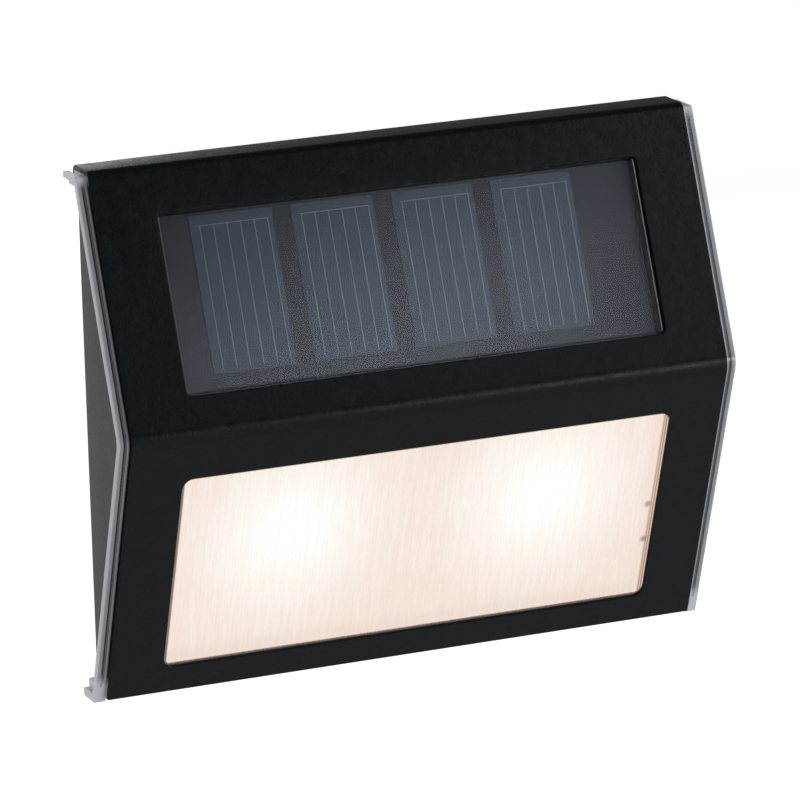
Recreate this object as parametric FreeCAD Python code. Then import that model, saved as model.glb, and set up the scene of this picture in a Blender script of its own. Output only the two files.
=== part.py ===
import FreeCAD, Part
import math
import os

# Solar fence light for an upright surface, in millimetres.
# The wall plane is y = 0 and the light stands out of it along -Y. +Z is up, +X is to the right
# of someone who faces the light. The origin is midway between the two keyhole entries.

Vector = FreeCAD.Vector

# --- Folded sheet cover: a dog-leg seen from the side, in depth from the wall and drop from its top ---
COVER_WIDTH = 113.8
SHEET = 0.8
TOP_Z = 30.0                 # cover's top above the keyhole entries
LIP_DEPTH = 1.0              # outer face of the hooked lip, from the wall
LIP_DROP = 2.6
FOLD_DEPTH = 8.7             # sharp top fold, from the wall
KNEE_DEPTH = 26.0            # sharp bend between the two faces, from the wall
KNEE_DROP = 44.6
FOOT_DEPTH = 8.1             # lower edge, from the wall
FOOT_DROP = 95.5
LIP_RADIUS = 1.1
FOLD_RADIUS = 1.6
KNEE_RADIUS = 5.4
LEAST_RADIUS = 0.5           # where the bends' own radius runs out behind the sheet

# --- Windows in the cover, measured down the face that each is cut in ---
SOLAR_SIDE_BORDER = 11.0     # sheet beside the window, at each side
SOLAR_WINDOW_TOP = 8.5       # below the top fold
SOLAR_WINDOW_HEIGHT = 32.2
SOLAR_WINDOW_CORNER = 0.9
LAMP_SIDE_BORDER = 10.05
LAMP_WINDOW_TOP = 8.8        # below the sharp bend
LAMP_WINDOW_FOOT = 5.3       # above the cover's lower edge
LAMP_WINDOW_CORNER = 1.4

# --- Clear shell behind the cover ---
TAPE = 0.2                   # bond between cover and shell
TAPE_MARGIN = 1.0            # from a strip to a window or to the lower edge
TAPE_TOP_WIDTH = 4.5
TAPE_KNEE_WIDTH = 3.0
TAPE_OVERHANG = 4.0          # strips' ends beyond the solar window
RIM_WIDTH = 2.1              # clear rim that shows beyond the cover at each side
SKIN = 1.2
HOOK_GAP = 0.1               # between the shell's top wall and the cover's hook
SHELL_TOP_WALL = 2.3
SHELL_BOTTOM_WALL = 2.7
LUG_THICKNESS = 1.1          # full-width layer of the top and bottom walls
LUG_STEP = 1.0               # how far their inner layer is set in
LUG_WIDTH = 1.1              # of the tabs that this leaves beside the cover's ends
RIM_FOOT = 0.4               # rims' lower ends below the cover
WINDOW_GAP = 0.3             # between a raised window and the cover's cut-out
WINDOW_SET_BACK = 0.35       # raised window's face below the cover's face
WINDOW_EDGE_RADIUS = 0.4
GROOVE_DEPTH = 0.3
GROOVE_START = 0.8           # from a rim's outer edge to the line along its front
GROOVE_WIDTH = 0.3

# --- Solar panel ---
PANEL_SIDE_INSET = 0.9       # board's side edges inside the window
PANEL_END_INSET = 0.6        # board's top and bottom edges inside the window
CELL_COUNT = 4
CELL_WIDTH = 15.5
CELL_HEIGHT = 27.7
CELL_PITCH = 19.1
CELL_TOP_GAP = 1.0           # below the window's top edge
CELL_LEFT_GAP = 6.6          # from the window's left edge to the first cell
CELL_THICKNESS = 0.2
BOARD_THICKNESS = 1.2
SEAL_WIDTH = 2.5

# --- Lamp chamber ---
LAYER_GAP = 0.05             # between stacked flat pieces
DIFFUSER_THICKNESS = 1.0
CHAMBER_MARGIN = 1.35        # sheet and tray beyond the lamp window at the sides
CHAMBER_TOP_MARGIN = 1.7
CHAMBER_FOOT_MARGIN = 0.95
TRAY_DEPTH = 3.25
TRAY_FLOOR = 1.0
TRAY_WALL = 0.8
TRAY_END_WALL = 0.6
LED_SPACING = 48.4
LED_DROP = 24.5              # below the sharp bend
LED_WIDTH = 3.5
LED_HEIGHT = 2.8
LED_THICKNESS = 0.8
LED_HOLE_GAP = 0.3
LED_BOARD_OVERHANG = 5.8     # strip's ends beyond the light sources' middles
LED_BOARD_HEIGHT = 8.0
LED_BOARD_THICKNESS = 1.0

# --- Rear housing ---
CHEEK_INSET = 0.8            # outside of the two dark cheeks, from the cover's edges
HOUSING_WALL = 1.8
REAR_WALL = 2.0
HOUSING_GAP = 0.2            # between housing and shell
GASKET_THICKNESS = 0.7
GASKET_LIP = 0.6             # tray's edge that hides the gasket
GASKET_FIT = 0.05            # between this edge and the shell, and beside the gasket
REAR_CORNER_RADIUS = 2.0
REAR_EDGE_RADIUS = 1.2
KEYHOLE_SPACING = 80.0
KEYHOLE_ENTRY_RADIUS = 4.2
KEYHOLE_SLOT_RADIUS = 2.2
KEYHOLE_RISE = 7.5           # from the entry to the slot's end
KEYHOLE_ROOM = 4.6           # depth behind the wall for a screw head
KEYHOLE_SIDE_ROOM = 1.0
POCKET_WALL = 1.2

# --- Screws: radius of shank and head, height of head ---
CASE_SCREW = (1.0, 1.8, 1.6)
BOARD_SCREW = (0.8, 1.6, 1.1)
SCREW_GAP = 0.05
HEAD_GAP = 0.2
CROSS_REACH = 0.6            # cross recess, as shares of the head's radius
CROSS_HALF_WIDTH = 0.12
CASE_SCREW_INSET = 4.0       # from the cheeks' outside
CASE_SCREW_TOP_DROP = 16.0    # below the cover's top
CASE_SCREW_FOOT_RISE = 13.5   # above its lower edge
CASE_SCREW_LENGTH = 5.5
CASE_HEAD_SEAT = 4.0         # depth of the counterbores in the back
COLUMN_RADIUS = 2.4
COLUMN_DEPTH = 6.2
BOSS_RADIUS = 2.0
BOSS_GAP = 0.1

# --- Battery, its bay and its door ---
BATTERY_RADIUS = 5.25
BATTERY_LENGTH = 44.5
BATTERY_NUB_RADIUS = 1.9
BATTERY_NUB_LENGTH = 1.0
BATTERY_Z = -8.4
BATTERY_ROOM = 0.3
BAY_LENGTH = 52.0
BAY_HEIGHT = 11.6
BAY_WALL = 1.2
CONTACT_THICKNESS = 0.4
CONTACT_SIZE = 8.0
TAB_WIDTH = 3.0
TAB_REACH = 1.6              # tab's end below the bay
SPRING_RADIUS = 3.2
SPRING_WIRE_RADIUS = 0.3
SPRING_TURNS = 4
DOOR_LENGTH = 65.4
DOOR_HEIGHT = 17.4
DOOR_THICKNESS = 1.6
DOOR_GAP = 0.3
DOOR_SET_BACK = 0.1
DOOR_CORNER = 2.0
DOOR_GASKET_THICKNESS = 0.5
DOOR_GASKET_START = 0.4      # gasket's inner edge outside the bay
DOOR_GASKET_WIDTH = 2.0
LEDGE_GAP = 0.1              # between the door's gasket and its ledge
LEDGE_THICKNESS = 1.7
DOOR_PAD_MARGIN = 2.0
DOOR_SCREW_X = 30.4
DOOR_SCREW_LENGTH = 5.8
DOOR_HEAD_SINK = 1.1
DOOR_BOSS_RADIUS = 2.2

# --- Control board and slide switch ---
CONTROL_LENGTH = 40.0
CONTROL_HEIGHT = 16.0
CONTROL_THICKNESS = 1.2
CONTROL_Z = -29.0
CONTROL_POST_X = 17.0
CONTROL_POST_Z = 5.0         # above and below the board's middle
CONTROL_POST_RADIUS = 2.0
BOARD_SCREW_LENGTH = 3.8
SWITCH_LENGTH = 8.6
SWITCH_HEIGHT = 4.3
SWITCH_DEPTH = 3.6
SWITCH_TRAVEL = 3.0
KNOB_LENGTH = 2.0
KNOB_HEIGHT = 2.4
KNOB_SET_BACK = 0.3
KNOB_ROOT = 0.8              # knob's length inside the switch body
KNOB_GAP = 0.3
SWITCH_RECESS_LENGTH = 14.0
SWITCH_RECESS_HEIGHT = 8.0
SWITCH_RECESS_DEPTH = 1.2
CHIP_X = -10.0
CHIP_SIZE = (5.0, 1.6, 4.0)
COIL_RADIUS = 3.0
COIL_HEIGHT = 3.0
COIL_FLANGE = 0.6            # thickness of the drum's two flanges
COIL_WAIST_DEPTH = 0.4
CAPACITOR_X = 9.0
CAPACITOR_RADIUS = 2.0
CAPACITOR_HEIGHT = 3.3
PART_Z = 1.5                 # components above the board's middle

# --- Posts that carry the lamp's tray ---
TRAY_POST_SIDE_INSET = 8.2   # from the tray's sides
TRAY_POST_RADIUS = 2.0
TRAY_POST_INSET = 7.0        # from the tray's ends

# --- Internal wires ---
WIRE_RADIUS = 0.5
PANEL_WIRE_X = 29.0          # past the end of the battery bay
PANEL_WIRE_END_X = 18.3
PANEL_WIRE_DROP = 34.0       # below the top fold, on the solar board
LED_WIRE_X = 6.0
BATTERY_WIRE_X = 13.5
WIRE_LEAD = 2.0              # straight run at a wire's end
BEND_SHARE = 0.45            # of the shorter run that a wire's bend takes up

OVERCUT = 1.0                # how far a cutting body runs past what it cuts

# --- Worked out from the sizes above ---
SOLAR_WINDOW_WIDTH = COVER_WIDTH - 2 * SOLAR_SIDE_BORDER
LAMP_WINDOW_WIDTH = COVER_WIDTH - 2 * LAMP_SIDE_BORDER
CHEEK_WIDTH = COVER_WIDTH - 2 * CHEEK_INSET
CASE_SCREW_X = CHEEK_WIDTH / 2 - CASE_SCREW_INSET
LED_BOARD_LENGTH = LED_SPACING + 2 * LED_BOARD_OVERHANG
KNEE_Z = TOP_Z - KNEE_DROP
FOOT_Z = TOP_Z - FOOT_DROP
SHELL_INSET = SHEET + TAPE
SKIN_BACK = SHELL_INSET + SKIN
SHELL_HALF = COVER_WIDTH / 2 + RIM_WIDTH
SHELL_TOP_Z = TOP_Z - SHEET - HOOK_GAP
SHELL_REAR_Y = -(LIP_DEPTH + SHEET + HOOK_GAP)
HOUSING_TOP_Z = SHELL_TOP_Z - SHELL_TOP_WALL - HOUSING_GAP
HOUSING_FOOT_Z = FOOT_Z + SHELL_BOTTOM_WALL + HOUSING_GAP
HOUSING_INSET = SKIN_BACK + GASKET_THICKNESS
CHEEK_HALF = CHEEK_WIDTH / 2
CAVITY_HALF = CHEEK_WIDTH / 2 - HOUSING_WALL
CELL_OUT = -(SKIN_BACK + LAYER_GAP)
BOARD_OUT = CELL_OUT - CELL_THICKNESS
BOARD_BACK = BOARD_OUT - BOARD_THICKNESS
DIFFUSER_OUT = -(SKIN_BACK + LAYER_GAP)
TRAY_OUT = DIFFUSER_OUT - DIFFUSER_THICKNESS - LAYER_GAP
TRAY_BACK = TRAY_OUT - TRAY_DEPTH
LED_BOARD_OUT = TRAY_BACK - LAYER_GAP
LED_BOARD_BACK = LED_BOARD_OUT - LED_BOARD_THICKNESS
RECESS_FLOOR_Y = -(DOOR_SET_BACK + DOOR_THICKNESS + DOOR_GASKET_THICKNESS + LEDGE_GAP)
BATTERY_Y = RECESS_FLOOR_Y - BATTERY_ROOM - BATTERY_RADIUS
BAY_FRONT_Y = BATTERY_Y - BATTERY_RADIUS - BATTERY_ROOM
BAY_FLOOR_Z = BATTERY_Z - BAY_HEIGHT / 2
NUB_END_X = BAY_LENGTH / 2 - LAYER_GAP - CONTACT_THICKNESS - BATTERY_ROOM
CAN_START_X = NUB_END_X - BATTERY_LENGTH
CONTROL_BACK_Y = -(REAR_WALL + HOUSING_GAP + SWITCH_DEPTH)
CONTROL_FRONT_Y = CONTROL_BACK_Y - CONTROL_THICKNESS
KNOB_X = SWITCH_TRAVEL / 2
DOOR_MIDDLE = (0.0, BATTERY_Z)


# --- Side-view geometry: points are (y, z) ---
def line_offset(start, end, inset):
    """Return a face line moved inwards, towards the wall, by inset."""
    run_y = end[0] - start[0]
    run_z = end[1] - start[1]
    length = math.hypot(run_y, run_z)
    shift_y = -run_z / length * inset
    shift_z = run_y / length * inset
    return (start[0] + shift_y, start[1] + shift_z), (end[0] + shift_y, end[1] + shift_z)


def at_height(line, z):
    """Return the point of a line at the height z."""
    (y0, z0), (y1, z1) = line
    return (y0 + (y1 - y0) * (z - z0) / (z1 - z0), z)


def crossing(first, second):
    """Return the point where two lines cross."""
    (y0, z0), (y1, z1) = first
    (y2, z2), (y3, z3) = second
    slope_first = (y1 - y0) / (z1 - z0)
    slope_second = (y3 - y2) / (z3 - z2)
    z = (y2 - y0 + slope_first * z0 - slope_second * z2) / (slope_first - slope_second)
    return (y0 + slope_first * (z - z0), z)


FOLD = (-FOLD_DEPTH, TOP_Z)
KNEE = (-KNEE_DEPTH, KNEE_Z)
FOOT = (-FOOT_DEPTH, FOOT_Z)
UPPER = (FOLD, KNEE)
LOWER = (KNEE, FOOT)
LOWER_LENGTH = math.dist(KNEE, FOOT)


def dogleg_line(inset, top_z, foot_z):
    """Return the top, knee and foot points of the faces moved inwards by inset."""
    upper = line_offset(*UPPER, inset)
    lower = line_offset(*LOWER, inset)
    return [at_height(upper, top_z), crossing(upper, lower), at_height(lower, foot_z)]


def rounded_wire(corners, radii, x):
    """Return a closed wire through (y, z) corners at x, each corner rounded by its radius."""
    points = [Vector(x, y, z) for y, z in corners]
    starts = []
    ends = []
    middles = []
    for index, corner in enumerate(points):
        to_last = (points[index - 1] - corner).normalize()
        to_next = (points[(index + 1) % len(points)] - corner).normalize()
        half = to_last.getAngle(to_next) / 2
        radius = radii[index]
        reach = radius / math.tan(half)
        bisector = (to_last + to_next).normalize()
        starts.append(corner + to_last * reach)
        ends.append(corner + to_next * reach)
        middles.append(corner + bisector * (radius / math.sin(half) - radius))
    edges = []
    for index, start in enumerate(starts):
        if radii[index] > 0:
            edges.append(Part.Arc(start, middles[index], ends[index]).toShape())
        following = starts[(index + 1) % len(starts)]
        edges.append(Part.LineSegment(ends[index], following).toShape())
    return Part.Wire(edges)


def prism(corners, radii, x_min, x_max):
    """Return the side-view outline as a solid from x_min to x_max."""
    face = Part.Face(rounded_wire(corners, radii, x_min))
    return face.extrude(Vector(x_max - x_min, 0, 0))


def dogleg_prism(half_width, inset, top_z, foot_z, rear_y, rear_radius=0.0):
    """Return a solid dog-leg body from the inset faces back to rear_y."""
    return dogleg_slab(-half_width, half_width, inset, top_z, foot_z, rear_y, rear_radius)


def dogleg_slab(x_min, x_max, inset, top_z, foot_z, rear_y, rear_radius=0.0):
    """Return a dog-leg body between two x planes."""
    top, knee, foot = dogleg_line(inset, top_z, foot_z)
    corners = [(rear_y, top_z), top, knee, foot, (rear_y, foot_z)]
    fold_radius = max(FOLD_RADIUS - inset, LEAST_RADIUS)
    knee_radius = max(KNEE_RADIUS - inset, LEAST_RADIUS)
    return prism(corners, [rear_radius, fold_radius, knee_radius, 0.0, rear_radius], x_min, x_max)


def dogleg_band(half_width, front, rear, top_z, foot_z):
    """Return the layer between two insets of the faces."""
    outer = dogleg_prism(half_width, front, top_z, foot_z, 0.0)
    return outer.cut(dogleg_prism(half_width + OVERCUT, rear, top_z + OVERCUT, foot_z - OVERCUT, OVERCUT))


# --- Solids placed on a face: x across, down along the face, out away from the wall ---
def face_frame(face):
    """Return the placement whose X, Y, Z run across, up and out of a face."""
    (y0, z0), (y1, z1) = face
    length = math.dist(face[0], face[1])
    up_y = (y0 - y1) / length
    up_z = (z0 - z1) / length
    out_y = -up_z
    out_z = up_y
    matrix = FreeCAD.Matrix(1, 0, 0, 0, 0, up_y, out_y, y0, 0, up_z, out_z, z0, 0, 0, 0, 1)
    return FreeCAD.Placement(matrix)


def on_face(face, x, down, out):
    """Return the point of a face at x, down and out."""
    return face_frame(face).multVec(Vector(x, -down, out))


def rounded_box(size, corner, edge_radius):
    """Return a box from 0 with its upright edges rounded, and its front rim too."""
    box = Part.makeBox(*size)
    if corner > 0:
        upright = [edge for edge in box.Edges if abs(edge.tangentAt(0).z) > 0.99]
        box = box.makeFillet(corner, upright)
    if edge_radius > 0:
        rim = [edge for edge in box.Edges if edge.BoundBox.ZMin > size[2] - 0.001]
        box = box.makeFillet(edge_radius, rim)
    return box


def plate(face, x_range, down_range, out_range, corner=0.0, edge_radius=0.0):
    """Return a flat plate on a face, its corners and front rim rounded if asked."""
    size = (x_range[1] - x_range[0], down_range[1] - down_range[0], out_range[1] - out_range[0])
    box = rounded_box(size, corner, edge_radius)
    box.translate(Vector(x_range[0], -down_range[1], out_range[0]))
    box.Placement = face_frame(face).multiply(box.Placement)
    return box


def window_plate(face, width, down_range, grow, out_range, corner, edge_radius=0.0):
    """Return a plate with a window's outline, made larger all round by grow."""
    half = width / 2 + grow
    down = (down_range[0] - grow, down_range[1] + grow)
    return plate(face, (-half, half), down, out_range, corner, edge_radius)


# --- Solids placed by x, y and z ---
def block(x_range, y_range, z_range):
    """Return a box between three pairs of planes."""
    size = [limits[1] - limits[0] for limits in (x_range, y_range, z_range)]
    return Part.makeBox(*size, Vector(x_range[0], y_range[0], z_range[0]))


def centred(middle, half, y_range):
    """Return a box around (x, z) with its half sizes, between two y planes."""
    x, z = middle
    return block((x - half[0], x + half[0]), y_range, (z - half[1], z + half[1]))


def rod(x, z, radius, y_range):
    """Return a cylinder along Y."""
    return Part.makeCylinder(radius, y_range[1] - y_range[0], Vector(x, y_range[0], z), Vector(0, 1, 0))


def rod_along_x(radius, x_range):
    """Return a cylinder along X on the battery's axis."""
    start = Vector(x_range[0], BATTERY_Y, BATTERY_Z)
    return Part.makeCylinder(radius, x_range[1] - x_range[0], start, Vector(1, 0, 0))


def joined(shapes):
    """Return one solid from shapes that touch."""
    whole = shapes[0]
    for shape in shapes[1:]:
        whole = whole.fuse(shape)
    return whole.removeSplitter()


def without(body, cuts):
    """Return a body with every cut taken out."""
    for cut in cuts:
        body = body.cut(cut)
    return body


def both_sides(x):
    """Return x on the right and on the left."""
    return (x, -x)


# --- Windows ---
SOLAR_DOWN = (SOLAR_WINDOW_TOP, SOLAR_WINDOW_TOP + SOLAR_WINDOW_HEIGHT)
LAMP_END = LOWER_LENGTH - LAMP_WINDOW_FOOT
LAMP_DOWN = (LAMP_WINDOW_TOP, LAMP_END)
CHAMBER_HALF = LAMP_WINDOW_WIDTH / 2 + CHAMBER_MARGIN
TRAY_POST_X = CHAMBER_HALF - TRAY_POST_SIDE_INSET
CHAMBER_DOWN = (LAMP_DOWN[0] - CHAMBER_TOP_MARGIN, LAMP_DOWN[1] + CHAMBER_FOOT_MARGIN)


def front_cover():
    """Folded sheet with a hooked lip and two windows."""
    outer = [(-LIP_DEPTH, TOP_Z - LIP_DROP), (-LIP_DEPTH, TOP_Z), FOLD, KNEE, FOOT]
    inner_fold, inner_knee, _ = dogleg_line(SHEET, TOP_Z - SHEET, FOOT_Z)
    inner_foot = line_offset(*LOWER, SHEET)[1]
    inner_lip = -(LIP_DEPTH + SHEET)
    inner = [inner_foot, inner_knee, inner_fold, (inner_lip, TOP_Z - SHEET), (inner_lip, TOP_Z - LIP_DROP)]
    outer_radii = [0.0, LIP_RADIUS, FOLD_RADIUS, KNEE_RADIUS, 0.0]
    inner_radii = [0.0, KNEE_RADIUS - SHEET, FOLD_RADIUS - SHEET, LIP_RADIUS - SHEET, 0.0]
    sheet = prism(outer + inner, outer_radii + inner_radii, -COVER_WIDTH / 2, COVER_WIDTH / 2)
    through = (-SHEET - OVERCUT, OVERCUT)
    solar = window_plate(UPPER, SOLAR_WINDOW_WIDTH, SOLAR_DOWN, 0.0, through, SOLAR_WINDOW_CORNER)
    lamp = window_plate(LOWER, LAMP_WINDOW_WIDTH, LAMP_DOWN, 0.0, through, LAMP_WINDOW_CORNER)
    return without(sheet, [solar, lamp])


def cover_tape():
    """Bonding strips above and below the windows."""
    half = SOLAR_WINDOW_WIDTH / 2 + TAPE_OVERHANG
    out = (-SHELL_INSET, -SHEET)
    top_end = SOLAR_DOWN[0] - TAPE_MARGIN
    knee_start = SOLAR_DOWN[1] + TAPE_MARGIN
    strips = [
        plate(UPPER, (-half, half), (top_end - TAPE_TOP_WIDTH, top_end), out),
        plate(UPPER, (-half, half), (knee_start, knee_start + TAPE_KNEE_WIDTH), out),
        plate(LOWER, (-half, half), (LAMP_DOWN[1] + TAPE_MARGIN, LOWER_LENGTH - TAPE_MARGIN), out),
    ]
    return Part.Compound(strips)


def raised_window(face, width, down, corner):
    """Return the raised block of the shell that fills one of the cover's windows."""
    out = (-SKIN_BACK, -WINDOW_SET_BACK)
    return window_plate(face, width, down, -WINDOW_GAP, out, corner, WINDOW_EDGE_RADIUS)


def case_screw_places():
    """Return the (x, z) places of the four case screws."""
    rows = (TOP_Z - CASE_SCREW_TOP_DROP, FOOT_Z + CASE_SCREW_FOOT_RISE)
    return [(x, z) for z in rows for x in both_sides(CASE_SCREW_X)]


def rim_groove(side):
    """Return the line along the front of one rim."""
    band = dogleg_band(SHELL_HALF, SHELL_INSET - OVERCUT, SHELL_INSET + GROOVE_DEPTH,
                       SHELL_TOP_Z - SHELL_TOP_WALL, FOOT_Z + SHELL_BOTTOM_WALL)
    near, far = sorted((side * (SHELL_HALF - GROOVE_START), side * (SHELL_HALF - GROOVE_START - GROOVE_WIDTH)))
    return band.common(block((near, far), (-FOOT_DROP, OVERCUT), (-FOOT_DROP, FOOT_DROP)))


def lug_notch(side):
    """Return the room between one upper lug's tab and the cover's end."""
    near, far = sorted((side * COVER_WIDTH / 2, side * (SHELL_HALF - LUG_WIDTH)))
    behind = dogleg_slab(near, far, SKIN_BACK, TOP_Z, FOOT_Z, OVERCUT)
    return behind.common(block((near, far), (-FOOT_DROP, OVERCUT), (SHELL_TOP_Z - LUG_THICKNESS, TOP_Z)))


def shell_cuts():
    """Return what is taken out of the clear block: its inside, the lugs' steps, the rims' lines."""
    cavity_top = SHELL_TOP_Z - SHELL_TOP_WALL
    cavity_foot = FOOT_Z + SHELL_BOTTOM_WALL
    half = COVER_WIDTH / 2
    cuts = [dogleg_prism(SHELL_HALF + OVERCUT, SKIN_BACK, cavity_top, cavity_foot, OVERCUT),
            block((-half, half), (-FOOT_DROP, OVERCUT), (-FOOT_DROP, FOOT_Z))]
    for side in (1, -1):
        step_in, step_out = sorted((side * (SHELL_HALF - LUG_STEP), side * (SHELL_HALF + OVERCUT)))
        cuts.append(dogleg_slab(step_in, step_out, SKIN_BACK, SHELL_TOP_Z - LUG_THICKNESS,
                                FOOT_Z + LUG_THICKNESS, OVERCUT))
        cuts += [lug_notch(side), rim_groove(side)]
    return cuts


def clear_shell():
    """Clear body: skin, raised windows, side rims with a line, corner lugs and four screw bosses."""
    shell = without(dogleg_prism(SHELL_HALF, SHELL_INSET, SHELL_TOP_Z, FOOT_Z - RIM_FOOT, SHELL_REAR_Y),
                    shell_cuts())
    bosses = []
    inside_skin = dogleg_prism(CAVITY_HALF, SHELL_INSET + SKIN / 2, SHELL_TOP_Z - SHELL_TOP_WALL,
                               FOOT_Z + SHELL_BOTTOM_WALL, -(COLUMN_DEPTH + BOSS_GAP))
    for x, z in case_screw_places():
        bosses.append(rod(x, z, BOSS_RADIUS, (-KNEE_DEPTH, 0)).common(inside_skin))
    solar = raised_window(UPPER, SOLAR_WINDOW_WIDTH, SOLAR_DOWN, SOLAR_WINDOW_CORNER - WINDOW_GAP)
    lamp = raised_window(LOWER, LAMP_WINDOW_WIDTH, LAMP_DOWN, LAMP_WINDOW_CORNER - WINDOW_GAP)
    shell = joined([shell, solar, lamp] + bosses)
    tip = -(CASE_HEAD_SEAT + CASE_SCREW_LENGTH + HEAD_GAP)
    holes = [rod(x, z, CASE_SCREW[0] + SCREW_GAP, (tip, 0)) for x, z in case_screw_places()]
    return without(shell, holes)


def board_range():
    """Return the solar board's half width and its top and bottom down the face."""
    half = SOLAR_WINDOW_WIDTH / 2 - PANEL_SIDE_INSET
    return half, (SOLAR_DOWN[0] + PANEL_END_INSET, SOLAR_DOWN[1] - PANEL_END_INSET)


def solar_board():
    """Dark board under the cells."""
    half, down = board_range()
    return plate(UPPER, (-half, half), down, (BOARD_BACK, BOARD_OUT))


def solar_cell(index):
    """One cell of the row, counted from the left."""
    left = -SOLAR_WINDOW_WIDTH / 2 + CELL_LEFT_GAP + index * CELL_PITCH
    top = SOLAR_DOWN[0] + CELL_TOP_GAP
    return plate(UPPER, (left, left + CELL_WIDTH), (top, top + CELL_HEIGHT), (BOARD_OUT, CELL_OUT))


def panel_seal():
    """Frame of black sealant round the board."""
    half, down = board_range()
    reach = LAYER_GAP + SEAL_WIDTH
    out = (BOARD_BACK, -SKIN_BACK)
    outer = plate(UPPER, (-half - reach, half + reach), (down[0] - reach, down[1] + reach), out)
    inner = plate(UPPER, (-half - LAYER_GAP, half + LAYER_GAP),
                  (down[0] - LAYER_GAP, down[1] + LAYER_GAP), (out[0] - OVERCUT, out[1] + OVERCUT))
    return outer.cut(inner)


def lamp_diffuser():
    """Flat sheet behind the lamp window."""
    return plate(LOWER, (-CHAMBER_HALF, CHAMBER_HALF), CHAMBER_DOWN,
                 (DIFFUSER_OUT - DIFFUSER_THICKNESS, DIFFUSER_OUT))


def led_places():
    """Return the x of the left and the right light source."""
    return {"led_left": -LED_SPACING / 2, "led_right": LED_SPACING / 2}


def reflector():
    """White tray with a hole for each light source."""
    tray = plate(LOWER, (-CHAMBER_HALF, CHAMBER_HALF), CHAMBER_DOWN, (TRAY_BACK, TRAY_OUT))
    inner_half = CHAMBER_HALF - TRAY_WALL
    inner_down = (CHAMBER_DOWN[0] + TRAY_WALL, CHAMBER_DOWN[1] - TRAY_END_WALL)
    cuts = [plate(LOWER, (-inner_half, inner_half), inner_down, (TRAY_BACK + TRAY_FLOOR, OVERCUT))]
    half_x = LED_WIDTH / 2 + LED_HOLE_GAP
    half_down = LED_HEIGHT / 2 + LED_HOLE_GAP
    for x in led_places().values():
        cuts.append(plate(LOWER, (x - half_x, x + half_x), (LED_DROP - half_down, LED_DROP + half_down),
                          (TRAY_BACK - OVERCUT, TRAY_OUT)))
    return without(tray, cuts)


def led_board():
    """Strip behind the tray's floor."""
    half = LED_BOARD_LENGTH / 2
    down = (LED_DROP - LED_BOARD_HEIGHT / 2, LED_DROP + LED_BOARD_HEIGHT / 2)
    return plate(LOWER, (-half, half), down, (LED_BOARD_BACK, LED_BOARD_OUT))


def led(x):
    """One light source on the strip."""
    down = (LED_DROP - LED_HEIGHT / 2, LED_DROP + LED_HEIGHT / 2)
    return plate(LOWER, (x - LED_WIDTH / 2, x + LED_WIDTH / 2), down,
                 (LED_BOARD_OUT, LED_BOARD_OUT + LED_THICKNESS))


# --- Rear housing ---
def housing_opening(grow, front):
    """Return the housing's inner space, made larger by grow and open to the front."""
    top = HOUSING_TOP_Z - HOUSING_WALL + grow
    foot = HOUSING_FOOT_Z + HOUSING_WALL - grow
    return dogleg_prism(CAVITY_HALF + grow, front, top, foot, -REAR_WALL)


def gasket_seat(fit):
    """Return the room of the gasket inside the tray's front edge, made smaller by fit."""
    edge = GASKET_LIP + fit
    return dogleg_band(CHEEK_HALF - edge, SKIN_BACK, HOUSING_INSET, HOUSING_TOP_Z - edge, HOUSING_FOOT_Z + edge)


def housing_tray():
    """Return the plain tray with its rounded back and the gasket's seat in its front edge."""
    tray = dogleg_prism(CHEEK_HALF, SKIN_BACK + GASKET_FIT, HOUSING_TOP_Z, HOUSING_FOOT_Z, 0.0,
                        REAR_CORNER_RADIUS)
    rim = [edge for edge in tray.Edges
           if edge.BoundBox.XLength < 0.01 and edge.BoundBox.YMin > -REAR_CORNER_RADIUS - 0.01]
    tray = tray.makeFillet(REAR_EDGE_RADIUS, rim)
    return tray.cut(gasket_seat(0.0)).cut(housing_opening(0.0, HOUSING_INSET / 2))


def tray_post_places():
    """Return the (x, z) places of the four posts under the lamp's tray."""
    places = []
    for down in (CHAMBER_DOWN[0] + TRAY_POST_INSET, CHAMBER_DOWN[1] - TRAY_POST_INSET):
        seat = on_face(LOWER, 0.0, down, TRAY_BACK)
        places += [(x, seat.z) for x in both_sides(TRAY_POST_X)]
    return places


def tray_posts():
    """Return the posts, cut off along the tray's floor."""
    posts = [rod(x, z, TRAY_POST_RADIUS, (-KNEE_DEPTH, -REAR_WALL / 2)) for x, z in tray_post_places()]
    above = plate(LOWER, (-SHELL_HALF, SHELL_HALF), (-KNEE_DROP, FOOT_DROP), (TRAY_BACK, KNEE_DEPTH))
    return [post.cut(above) for post in posts]


def keyhole_pocket(x, grow, y_range):
    """Return the room behind a keyhole, made larger by grow."""
    half = KEYHOLE_ENTRY_RADIUS + KEYHOLE_SIDE_ROOM + grow
    low = -KEYHOLE_ENTRY_RADIUS - KEYHOLE_SIDE_ROOM - grow
    high = KEYHOLE_RISE + KEYHOLE_ENTRY_RADIUS + KEYHOLE_SIDE_ROOM + grow
    return block((x - half, x + half), y_range, (low, high))


def keyhole_cut(x):
    """Return the entry and the narrower slot above it."""
    y_range = (-REAR_WALL - OVERCUT, OVERCUT)
    slot = block((x - KEYHOLE_SLOT_RADIUS, x + KEYHOLE_SLOT_RADIUS), y_range, (0, KEYHOLE_RISE))
    entry = rod(x, 0, KEYHOLE_ENTRY_RADIUS, y_range)
    end = rod(x, KEYHOLE_RISE, KEYHOLE_SLOT_RADIUS, y_range)
    return joined([entry, slot, end])


def control_posts():
    """Return the (x, z) places of the control board's posts, lower pair first."""
    rows = (CONTROL_Z - CONTROL_POST_Z, CONTROL_Z + CONTROL_POST_Z)
    return [(x, z) for z in rows for x in both_sides(CONTROL_POST_X)]


def bay_half(grow):
    """Return the battery bay's half length and half height, made larger by grow."""
    return BAY_LENGTH / 2 + grow, BAY_HEIGHT / 2 + grow


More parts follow.
